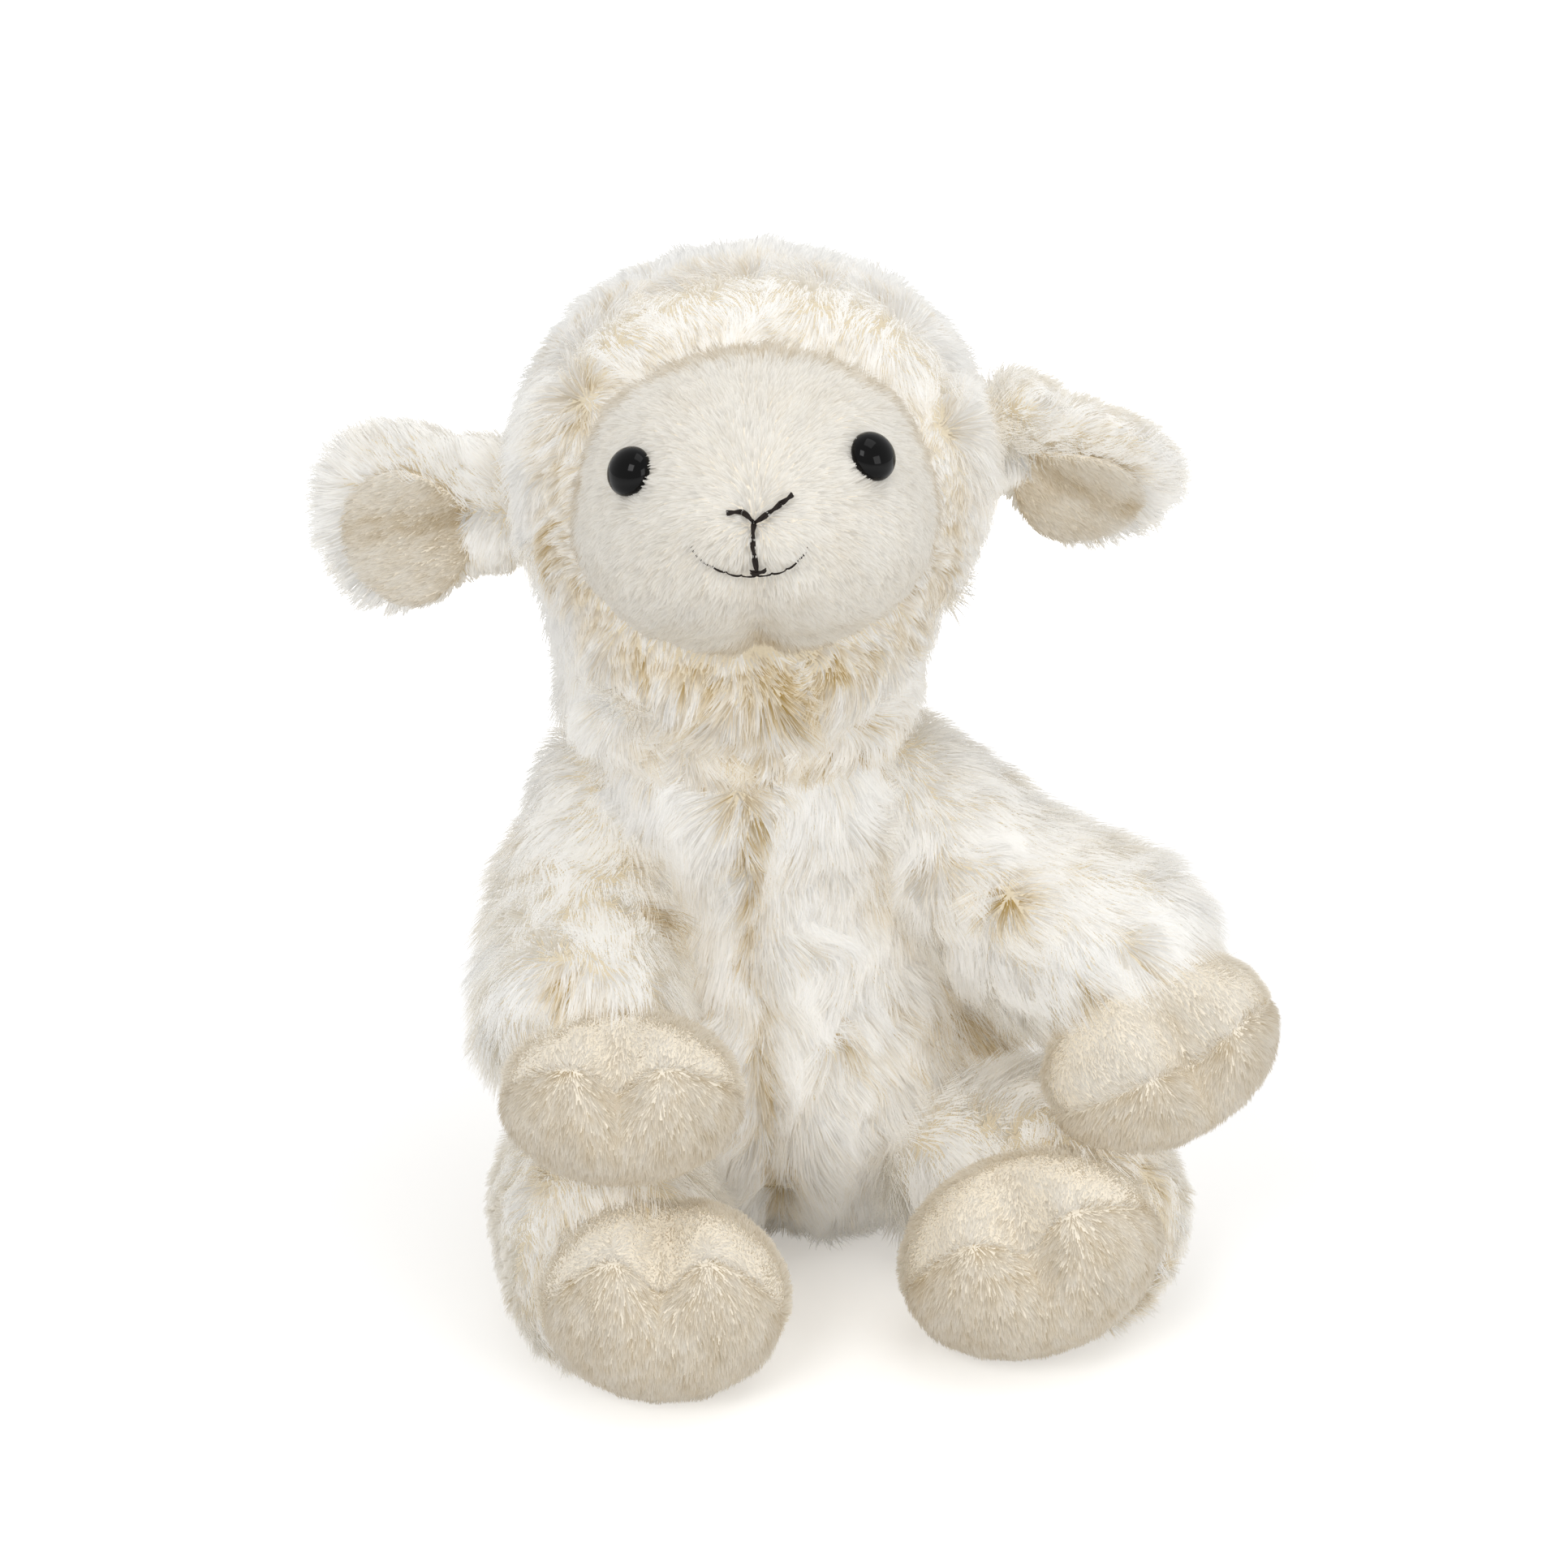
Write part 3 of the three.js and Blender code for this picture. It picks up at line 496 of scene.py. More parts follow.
cover_around, cover_along = 96, 72
rings = spun(body_outline, long_pile_height, cover_around, cover_along, body_place)
body_skin = closed_skin("torso_skin", rings, backing)
seam_outline = through([(-2, 0), (-4, 15), (-5, 30), (-8, 45), (-8, 60), (-11, 75), (-10, 90), (-13, 120)],
                       90)
body_whorls = [((-12, -40, 108), 7, 0.6), ((18, -26, 92), 9, 0.9), ((-36, -26, 94), 8, 0.7)]


def seam_side(places):
    """How far places lie to the left of the body's seam."""
    waver = 2.4 * uneven(places * [0, 0, 1], 9, 3)
    return places[:, 0] - np.interp(places[:, 2], seam_outline[:, 1], seam_outline[:, 0]) - waver


places, normals = places_of(body_skin)
front = ramp(-normals[:, 1] * 1.5)
flank_fullness, chest_fullness, shoulder_fullness, seam_sink = 4.5, 5.0, 4.0, 2.6
flank_place, shoulder_place, chest_height = (42, -8, 44), (26, -6, 108), 103
fullness = (flank_fullness * near(places, flank_place, 14)
            + chest_fullness * front * hump(places[:, 2] - chest_height, 14)
            + shoulder_fullness * near(places, shoulder_place, 9))
places, normals = pushed(body_skin, fullness)
seam = -seam_sink * hump(seam_side(places), 4.0) * front * ramp((100 - places[:, 2]) / 20)
places, normals = pushed(body_skin, seam)
aside = seam_side(places)
back = ramp(normals[:, 1] * 1.5)
parting = hump(aside, 2.6) * front * (0.3 + 0.9 * patches(places * [0, 0, 1], 7, 4))
comb = np.zeros_like(places)
comb[:, 2] = -1.0
comb[:, 0] += np.sign(aside) * 0.6 * np.exp(-np.abs(aside) / 10) * (front + 0.5 * back)
comb[:, 1] += 0.25 * np.sign(places[:, 1])
comb += swirl(places, 9, 1) * 1.5
tone = 0.05 + 0.62 * parting + 0.25 * uneven(places, 14, 1) + 0.5 * cracks(places, 10, 2)
comb, tone = whorls(places, comb, tone, body_whorls)
# Painted shade on the flank, where the arm, the leg and the body meet: the pile there is darkened, and made
# longer to close the gap.
flank_shade_and_fill = near(places, (42, -10, 46), 16)
tone += 1.1 * flank_shade_and_fill
pile = 1 - 0.4 * parting + 0.25 * uneven(places, 9, 2) + 0.7 * flank_shade_and_fill
pile *= np.clip((places[:, 2] - 0.5) / 5, 0.15, 1)
thick = np.where(places[:, 2] < 1.2, 0.02, 1.0) * ramp((122 - places[:, 2]) / 6)
for side, name in both_sides:
    comb_skin(body_skin, comb, pile, tone, thick * (side * aside > 0))
    grow(f"torso_fur_{name}", body_skin, "torso", long_pile, "long_pile", 11 + side)
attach(body_skin, "torso")
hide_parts("torso_cover")


# Filling of the body: loose polyester fibre above a cotton pouch of plastic beans.
# The pouch lies in the seat and keeps the toy upright. Both are pushed in through the
# back seam before it is closed by hand.

fibre = cloth_finish("polyester fibre", "e9e9e4", "ffffff", 0.6, 6, 0.8, 1.0)
pouch_weave = cloth_finish("pouch cotton", "cbbfa6", "e2d9c6", 0.5, 14, 0.25, 0.9)
pouch_height = 22
pouch_gap = 1.5
filling_top = 108
filling_inset = 9


def wad(name, rings, lump, finish, body, node):
    """A soft wad with lumps, which stands for a node."""
    piece = closed_skin(name, rings, finish)
    places = places_of(piece)[0]
    lumps = uneven(places, 9, 4) * lump + uneven(places, 3.5, 5) * lump * 0.5
    pushed(piece, lumps)
    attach(piece, body)
    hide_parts(node)


rings = spun(body_outline, filling_inset, 40, 30, body_place)
upper = rings.copy()
upper[..., 2] = np.clip(upper[..., 2], pouch_height + pouch_gap, filling_top)
lower = rings.copy()
lower[..., 2] = np.minimum(lower[..., 2], pouch_height - pouch_gap)
wad("torso_filling", upper, 2.0, fibre, "torso", "torso_stuffing")
wad("seat_pouch", lower, 1.6, pouch_weave, "torso", "seat_bean_pouch")


# Neck filling: a tight ball of the same fibre with a wider cap.
# It turns in the collar, and the head nods on its cap.

neck = np.array([body_lean, seat_setback + body_tip, neck_height])
neck_ball_radius = 24
neck_cap_radius = 30
turn = circle(40)
rings = []
for rise in np.radians(np.linspace(-90, 90, 33)):
    high = math.sin(rise)
    cap = 1 / (1 + math.exp(-(high - 0.4) * 30))
    radius = neck_ball_radius + (neck_cap_radius - neck_ball_radius) * cap
    level = math.cos(rise) * radius
    rings.append(level_ring(turn, level, high * radius) + neck)
wad("neck_filling", np.array(rings), 0.8, fibre, "neck", "neck_stuffing")


# Head hood: long white plush in two halves, sewn over the crown and drawn in under the jaw.
# Its front edge is sewn to the face, with a thick fringe brushed down over the forehead and
# a parting behind it that shows the tan roots.

head_shift, head_rise, head_radius = 3.5, 50, 50.5
head_centre = neck + [head_shift, 0, head_rise]
hood_outline = [(0, 100), (35.5, 112), (39, 132), (head_radius, 172), (43.14, 196.44), (30.3, 209.6),
                (0, 219)]
hood_depth = 0.98
fringe_fullness, cheek_fullness, ruff_fullness = 2.8, 2.8, 4.5
face_pitch, face_roll = -16, -3.5
face_half = np.array([38.5, 40, 34])
face_mean_half = 36
face_middle = np.array([0, -22.22, -7.575])
swells = [((0, -1, -0.25), 0.5, 0.15), ((-0.6, -0.7, -0.55), 0.4, 0.07), ((0.6, -0.7, -0.55), 0.4, 0.07),
          ((0, -0.5, -0.85), 0.25, -0.1)]
hood_whorls = [((-4, -44, 136), 7, 0.9), ((-24, -36, 134), 6, 0.7), ((-42, -34, 192), 7, 0.35)]


def turned_by(*turns):
    """The matrix of one turn after another, each an angle in degrees and an axis."""
    matrix = Matrix.Identity(3)
    for angle, axis in turns:
        matrix = matrix @ Matrix.Rotation(math.radians(angle), 3, axis)
    return matrix


face_turn = np.array(turned_by((face_pitch, "X"), (face_roll, "Y")))


def hood_place(p):
    """Places round the upright axis as places of the head, which sits a little left of the neck."""
    share = ramp((p[..., 2] - neck_height) / head_rise)
    x = neck[0] + head_shift * share + p[..., 0]
    return np.stack([x, neck[1] + p[..., 1] * hood_depth, p[..., 2]], -1)


def face_swell(v):
    """How far the face stands out past its plain egg: muzzle, two cheeks and a dimpled chin."""
    swell = np.ones(v.shape[:-1])
    for toward, width, share in swells:
        apart = np.linalg.norm(v - unit(np.array(toward, float)), axis=-1)
        swell = swell + share * hump(apart, width)
    return swell


def face_frame(p):
    """Places of the toy's frame as seen from the middle of the face's egg."""
    return (p - head_centre) @ face_turn - face_middle


def outside_face(p):
    """How far places lie outside the face, in millimetres."""
    q = face_frame(p) / face_half
    size = np.linalg.norm(q, axis=-1)
    return (size / face_swell(q / size[..., None]) - 1) * face_mean_half


def round_face(q):
    """Directions from the middle of the face, as seen from in front."""
    return unit(np.stack([q[:, 0] / face_half[0], 0 * q[:, 0], q[:, 2] / face_half[2]], -1))


rings = spun(hood_outline, long_pile_height, cover_around, cover_along, hood_place)
hood_skin = closed_skin("hood_skin", rings, backing)
places, normals = places_of(hood_skin)
beyond = outside_face(places)
q = face_frame(places)
ring_place = round_face(q)
brow = ramp(ring_place[:, 2] * 1.5 - 0.25) * (q[:, 1] < 12)
fringe = hump(beyond - 4, 5) * brow
cheek_roll = cheek_fullness * hump(beyond, 4.5) * (1 - brow) * ramp((places[:, 2] - 118) / 12)
ruff = ruff_fullness * hump(beyond - 4, 7) * ramp(-ring_place[:, 2] * 2 - 0.7) * (q[:, 1] < 8)
places, normals = pushed(hood_skin, fringe_fullness * fringe + cheek_roll + ruff)
toward_face = -ring_place @ face_turn.T
frontal = ramp(1 - (q[:, 1] - 5) / 25)[:, None]
part_line = 10.5 + 3 * uneven(places, 16, 6)
inward = np.clip((part_line - beyond) / 2.5, -1, 1) * brow
outward = ramp(1 - brow)
comb = toward_face * (inward - 0.5 * outward)[:, None] * frontal
comb += np.array([0, 0.55, -0.15]) * (brow * (inward < 0))[:, None]
comb += np.array([0, 0.15, -0.75]) * outward[:, None]
comb += np.array([0, 0.5, -1.0]) * (1 - frontal)
crown = ramp((places[:, 2] - 185) / 25)[:, None]
comb += np.array([0, 1.0, 0.0]) * crown * (1 - fringe[:, None])
# Along the face's sides the hood's pile is tan near the border: its roots show there, with painted shade for
# the shadow along the seam.
edge = hump(beyond + 1.5, 3.5) * (1 - brow)
parting = hump(beyond - part_line, 2.6) * brow
# Painted shade under the head, on the front of the hood's lower part.
neck_painted_shade = hump(places[:, 0] - head_centre[0], 24) * (places[:, 1] < 0)
# The fringe's colour is darkened a little as painted shade, to offset the stronger light that falls on it.
tone = -0.1 + 0.46 * edge + 0.5 * parting + 0.26 * fringe - 0.1 * crown[:, 0]
tone = tone + 0.2 * uneven(places, 12, 7)
# A tan line along the face's top border under the fringe: its roots, with painted shade under the overhang.
tone += 0.3 * brow * ramp(1 - beyond / 2.5)
low = ramp((150 - places[:, 2]) / 25)
tone += (low * (0.05 + 0.5 * neck_painted_shade + 0.9 * cracks(places, 9, 8))
         + 0.35 * cracks(places, 12, 10) * (1 - brow))
comb += swirl(places, 10, 6) * (0.4 + 1.5 * low + 1.0 * outward)[:, None]
comb, tone = whorls(places, comb, tone, hood_whorls)
pile = 1.0 + 0.3 * uneven(places, 8, 9) + 0.15 * low - 0.25 * parting - 0.2 * crown[:, 0]
pile *= np.clip(0.55 + 0.3 * brow + beyond / 8, 0.3, 1) * np.clip((places[:, 2] - 98) / 35, 0.35, 1)
thick = np.where(beyond > -4.5, 1.0, 0.0) * ramp((places[:, 2] - 104) / 4)
crown_seam = head_centre[0] - 2
aside = places[:, 0] - crown_seam
for side, name in both_sides:
    comb_skin(hood_skin, comb, pile, tone, thick * (side * aside > 0))
    grow(f"hood_fur_{name}", hood_skin, "head", long_pile, "long_pile", 31 + side, strands=3.7e6, lay=0.66,
         tuft_sweep=0.8, streak=3.5)
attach(hood_skin, "head")
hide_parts("head_hood")


# Filling of the head: loose polyester fibre, pushed well into the muzzle and the crown.
# It is one wad that rests on the neck's cap.

rings = spun([(0, 150)] + hood_outline[3:], 8, 40, 24, hood_place)
wad("head_filling", rings, 2.0, fibre, "head", "head_stuffing")


# Face: one panel of cream short-pile plush, drawn in round its edge where it meets the hood.
# It is stuffed hard. A dart under the mouth gives it two cheeks, and it sinks a little
# round each eye, where the washer pulls it in.

short_pile = pile_finish("short pile", "e0ddd6", "f4f2ed", "b9a580", "e2d8c5", 0.1)
short_backing = cloth_finish("short pile backing", "e4d9c4", "f2eadb", 0.7, 9, 0.3, 0.95)
face_inset = 1.6
eye_spread, eye_rise = 22.5, 7.48
eye_sink, dart_sink, smile_sink, chin_sink, side_sink = 0.6, 1.3, 1.6, 3.2, 1.6
cheek_swell, lip_swell = 1.3, 1.3


def on_face(x, z):
    """The front of the face at x and z from its middle, found by halving."""
    near_y, far_y = -2.0 * face_half[1], 0.0
    for _ in range(40):
        y = (near_y + far_y) / 2
        v = np.array([x, y, z]) / face_half
        size = np.linalg.norm(v)
        near_y, far_y = (near_y, y) if size < face_swell(v / size) else (y, far_y)
    return np.array([x, far_y, z])


def from_face(q):
    """Places from the middle of the face's egg, as places of the toy's frame."""
    return (q + face_middle) @ face_turn.T + head_centre


rings = []
around = 112
turn = circle(around)
for rise in np.radians(np.linspace(-90, 90, 81)):
    v = level_ring(turn, math.cos(rise), math.sin(rise))
    sunk = np.full(around, face_inset)
    q = v * face_half * face_swell(v)[:, None]
    x, z = q[:, 0], q[:, 2]
    forward = v[:, 1] < 0
    for side in (-1, 1):
        apart = np.hypot(x - side * eye_spread, z - eye_rise)
        sunk += forward * eye_sink * hump(apart, 7.5)
        apart = np.hypot(x - side * 13, (z + 17) * 0.9)
        sunk -= forward * cheek_swell * hump(apart, 11)
        apart = np.hypot(x - side * 6, (z + 6.5) * 1.1)
        sunk -= forward * lip_swell * hump(apart, 6)
    sunk += forward * chin_sink * ramp((-14 - z) / 14)
    sunk += forward * side_sink * ramp((np.abs(x) - 26) / 9)
    dart = ramp((-9 - z) / 6)
    sunk += forward * dart_sink * hump(x + 0.5, 3.6) * dart
    below_smile = z + 12.8 - 0.035 * x ** 2
    smile = smile_sink * hump(below_smile, 2.2) * np.exp(-((x / 12) ** 4))
    sunk += forward * smile
    rings.append(from_face(q - v * sunk[:, None]))
face_skin = closed_skin("face_skin", np.array(rings), short_backing)
places, normals = places_of(face_skin)
q = face_frame(places)
hood_curve = through(hood_outline, 200)
share = ramp((places[:, 2] - neck_height) / head_rise)
apart = np.hypot(places[:, 0] - neck[0] - head_shift * share, (places[:, 1] - neck[1]) / hood_depth)
clear = apart - np.interp(places[:, 2], hood_curve[:, 1], hood_curve[:, 0]) + long_pile_height
radial = unit(np.stack([q[:, 0], 0 * q[:, 0], q[:, 2] + 3], -1))
comb = radial @ face_turn.T + [0, 0, -0.45]
# Near the hood the face's pile is darker: painted shade under the hood's overhanging pile, with its tan
# roots.
covered = 3.0 + 0.8 * ramp(round_face(q)[:, 2] * 1.5 - 0.25)
tone = 0.06 + 0.25 * uneven(places, 7, 12) + 0.45 * ramp(1 - (clear - covered) / 1.8)
# A darker line marks the dart under the mouth, and painted shade darkens the face towards the chin, which
# faces down.
tone += 0.15 * hump(q[:, 0], 3) * (q[:, 2] < -12) + 0.12 * ramp(-q[:, 2] / 25)
pile = 1 + 0.3 * uneven(places, 5, 13)
for side in (-1, 1):
    toward = np.stack([side * eye_spread - q[:, 0], 0 * q[:, 0], eye_rise - q[:, 2]], -1)
    apart = np.linalg.norm(toward, axis=1)
    inner_edge = ramp(0.3 + toward[:, 0] * side / apart) * (q[:, 1] < 0)
    lash = hump(apart - 6, 1.6) * inner_edge
    comb += 2.5 * (unit(toward) @ face_turn.T) * lash[:, None]
    pile += 0.9 * lash
comb_skin(face_skin, comb, pile, tone, ramp((clear + 5) / 2) * (q[:, 1] < 14))
short_settings = {"arch": 0.2, "clump_pull": 0.2, "streak": 1.0}
grow("face_pile", face_skin, "head", short_pile, "short_pile", 51, strands=5.6e6, length=3.0 * mm,
     lay=0.68, tuft_size=4 * mm, tuft_sweep=0.9, clump_spacing=1.3 * mm, **short_settings)
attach(face_skin, "head")
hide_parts("face_panel")


# Eyes: glossy black plastic domes on shanks, pushed through the face and locked behind it
# by a ribbed washer. The pile on the nose side of each one falls a little over its edge.

wear, given, out = effect("light wear", {"Scale": "Float"}, {"Mask": "Float"})
place = wear.nodes.new("ShaderNodeTexCoord").outputs["Object"]
feeds = {"Vector": place, "Scale": given["Scale"], "Detail": 6.0}
scuffs = wire(wear, "ShaderNodeTexNoise", feeds).outputs[0]
wear.links.new(sums(wear, "POWER", scuffs, 3.0), out["Mask"])


def plastic_finish(name, low, high, roughness, worn, scale, gloss):
    """Moulded plastic: its colour and its polish vary a little where it has been handled."""
    material, tree, shader = new_finish(name, roughness, gloss)
    marks = wire(tree, "ShaderNodeGroup", {"Scale": scale}, node_tree=wear).outputs[0]
    tree.links.new(blended(tree, marks, shade(low), shade(high)), shader.inputs["Base Color"])
    polish = sums(tree, "ADD", sums(tree, "MULTIPLY", marks, worn), roughness)
    tree.links.new(polish, shader.inputs["Roughness"])
    return material


eye_plastic = plastic_finish("eye plastic", "020202", "080707", 0.04, 0.2, 400.0, 0.13)
washer_plastic = plastic_finish("washer plastic", "e4e3dd", "f2f1ec", 0.42, 0.3, 250.0, 0.5)
eye_radius, eye_height, eye_rim = 4.8, 3.6, 0.8
shank_radius, shank_length = 1.6, 7.5
rib_spacing, rib_height, rib_count = 0.8, 0.25, 7
washer_depth, washer_thickness, washer_radius, washer_play = 3.2, 1.4, 6.0, 0.4


def turned(name, profile, frame_rows, origin, sides, finish):
    """A turned piece: radius and height pairs spun round the frame's second row."""
    turn = circle(sides)
    rings = []
    for radius, height in profile:
        rings.append(level_ring(turn, radius, height)[:, [0, 2, 1]] @ frame_rows + origin)
    return closed_skin(name, np.array(rings), finish)


for side, name in both_sides:
    x, z = side * eye_spread, eye_rise
    seat = on_face(x, z)
    apart = eye_radius / 2
    level = on_face(x + apart, z) - on_face(x - apart, z)
    outwards = unit(np.cross(level, on_face(x, z + apart) - on_face(x, z - apart)))
    outwards = -outwards if outwards[1] > 0 else outwards
    right = unit(np.cross(outwards, [0, 0, 1.0]))
    rows = np.stack([right, outwards, np.cross(right, outwards)]) @ face_turn.T
    origin = from_face(seat)
    profile = [(0, -shank_length), (shank_radius, -shank_length)]
    for i in range(1, rib_count + 1):
        profile.append((shank_radius + (rib_height if i % 2 else 0), -shank_length + rib_spacing * i))
    profile += [(shank_radius, -eye_rim), (eye_radius * 0.85, -eye_rim), (eye_radius * 0.97, -eye_rim * 0.6)]
    for angle in np.radians(np.linspace(0, 90, 17)):
        profile.append((eye_radius * math.cos(angle), eye_height * math.sin(angle)))
    eye = turned(f"eye_dome_{name}", profile, rows, origin, 48, eye_plastic)
    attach(eye, "head")
    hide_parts(f"eye_{name}")
    top = -washer_depth - eye_rim
    bottom, bore, outer = top - washer_thickness, shank_radius + washer_play, washer_radius
    disc = [(bore, (top + bottom) / 2), (bore, bottom), (outer - 0.4, bottom), (outer, bottom + 0.35),
            (outer, top - 0.35), (outer - 0.4, top), (4.4, top), (4.2, top + 0.35), (3.4, top + 0.35),
            (3.2, top), (bore, top)]
    around = 40
    turn = circle(around)
    points = []
    for radius, height in disc:
        points.extend(level_ring(turn, radius, height)[:, [0, 2, 1]] @ rows + origin)
    faces = []
    for ring in range(len(disc)):
        a, b = ring * around, (ring + 1) % len(disc) * around
        faces += [(a + s, b + s, b + (s + 1) % around, a + (s + 1) % around) for s in range(around)]
    washer = closed_mesh(f"lock_washer_{name}", points, faces, washer_plastic)
    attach(washer, "head")
    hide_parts(f"eye_washer_{name}")


# Nose and mouth: lines of black embroidery thread stitched through the face by hand.
# Each line is a two-ply thread in short stitches that dip into the pile at their ends.

thread_finish = cloth_finish("embroidery thread", "0d0a09", "2a211c", 0.25, 2, 0.12, 0.75)
nose_lines = [[(0.19, 0.05), (0.1, -0.02), (0, -0.09)], [(-0.13, -0.03), (-0.05, -0.03), (0, -0.09)],
              [(0, -0.09), (-0.012, -0.19), (0, -0.35)], [(-0.035, -0.352), (0, -0.35), (0.045, -0.345)]]
smile_line = [(-0.31, -0.19), (-0.26, -0.28), (-0.1, -0.37), (0.1, -0.37), (0.2, -0.31), (0.25, -0.24)]


stitch_length = 3.0


def thread_mesh(lines, radius, rise, dip):
    """Two twisted plies along lines on the face, sinking between stitches."""
    vertices, faces, sides = [], [], 8
    for line in lines:
        shares = through(line, 60)
        path = np.array([from_face(on_face(a * face_half[0], b * face_half[2])) for a, b in shares])
        length = np.concatenate([[0], np.cumsum(np.linalg.norm(np.diff(path, axis=0), axis=1))])
        steps = max(int(length[-1] / 0.35), 8)
        along = np.linspace(0, length[-1], steps)
        path = np.stack([np.interp(along, length, path[:, k]) for k in range(3)], -1)
        heading = unit(np.gradient(path, axis=0))
        outwards = unit(path - from_face(np.zeros(3)))
        across = unit(np.cross(heading, outwards))
        outwards = np.cross(across, heading)
        stitches = max(round(length[-1] / stitch_length), 1)
        held = np.abs(np.sin(along / length[-1] * math.pi * stitches))
        lift = rise - dip * (1 - held**0.35)
        for ply in (0, math.pi):
            twist = along / 1.1 + ply
            middle = path + across * (np.cos(twist) * radius * 0.6)[:, None]
            middle = middle + outwards * (lift + np.sin(twist) * radius * 0.6)[:, None]
            start = len(vertices)
            for k in range(steps):
                thin = radius * (0.35 if k in (0, steps - 1) else 0.8)
                for s in range(sides):
                    a = s * math.pi / 4
                    vertices.append(middle[k] + (across[k] * math.cos(a) + outwards[k] * math.sin(a)) * thin)
            for k in range(steps - 1):
                for s in range(sides):
                    n = (s + 1) % sides
                    a, b = start + k * sides, start + (k + 1) * sides
                    faces.append((a + s, b + s, b + n, a + n))
            faces.append(tuple(start + s for s in range(sides)))
            faces.append(tuple(start + (steps - 1) * sides + s for s in reversed(range(sides))))
    return vertices, faces


for name, node, lines, radius, rise, dip in (
    ("nose_stitches", "nose_embroidery", nose_lines, 0.4, 1.1, 1.3),
    ("mouth_stitches", "mouth_embroidery", [smile_line], 0.15, 0.0, 0.8),
):
    piece = closed_mesh(name, *thread_mesh(lines, radius, rise, dip), thread_finish)
    piece.data.shade_smooth()
    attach(piece, "head")
    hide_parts(node)


# Ears: a leaf of long plush behind and a short-pile lining in front, sewn round their edge
# and turned. The root is pinched together and sewn into the hood, which cups the ear.

ear_length, ear_half_width, ear_half_thickness, ear_cup = 44, 22.5, 5.5, 5
ear_start = 6
ear_poses = {"right": (4, 10, -0.16), "left": (24, 40, 0.2)}
root_widths = {"right": 12.5, "left": 19}
root_depth = 6.5
lining_share, lining_rise, lining_drop = 0.12, 4.6, 3.0


def ear_rings(side, pose, half, start, forward, around, along, root_width, pinch):
    """Rings of an ear's leaf from its root to its tip, with its long edges curled forwards."""
    droop, twist, rise = pose
    reach = head_radius * math.sqrt(1 - rise * rise) - 5
    root = head_centre + [side * reach, 0, rise * head_radius]
    lie = np.array(turned_by((side * droop, "Y"), (twist, "X")))
    turn = circle(around)
    back_end = -0.14 if root_width else 0.0
    rings = []
    for t in np.linspace(0, 1, along):
        run = back_end + (1 - back_end) * (t - 0.12 * math.sin(2 * math.pi * t) / math.pi)
        inner = max(run, 0.0)
        level = math.sqrt(max(1 - (2 * inner - 1) ** 2, 0))
        opened = math.sin(min(inner / 0.6, 1) * math.pi / 2)
        wide = half[2] * (0.62 + 0.38 * opened) * level
        deep = half[1] * level
        close = math.exp(-((inner / 0.2) ** 2)) * math.sqrt(max(1 - (min(run, 0) / 0.14) ** 2, 0))
        if root_width:
            wide, deep = math.hypot(wide, root_width * close), math.hypot(deep, root_depth * close)
        z = np.sin(turn) * wide
        gather = math.exp(-((inner / 0.4) ** 2)) * pinch
        fold = 3.6 * gather * hump(z, 4.0)
        curl = ear_cup * (z / ear_half_width) ** 2 * (1 + 1.2 * gather)
        y = np.cos(turn) * deep - curl - forward + fold
        x = np.full(around, side * (start + run * 2 * half[0]))
        rings.append(np.stack([x, y, z], -1) @ lie.T + root)
    return np.array(rings), lie, root


def ear_places(skin, lie, root):
    """Places of an ear's skin, the same in the ear's own directions, and how far they face forwards."""
    places, normals = places_of(skin)
    return places, (places - root) @ lie, -(normals @ lie)[:, 1]


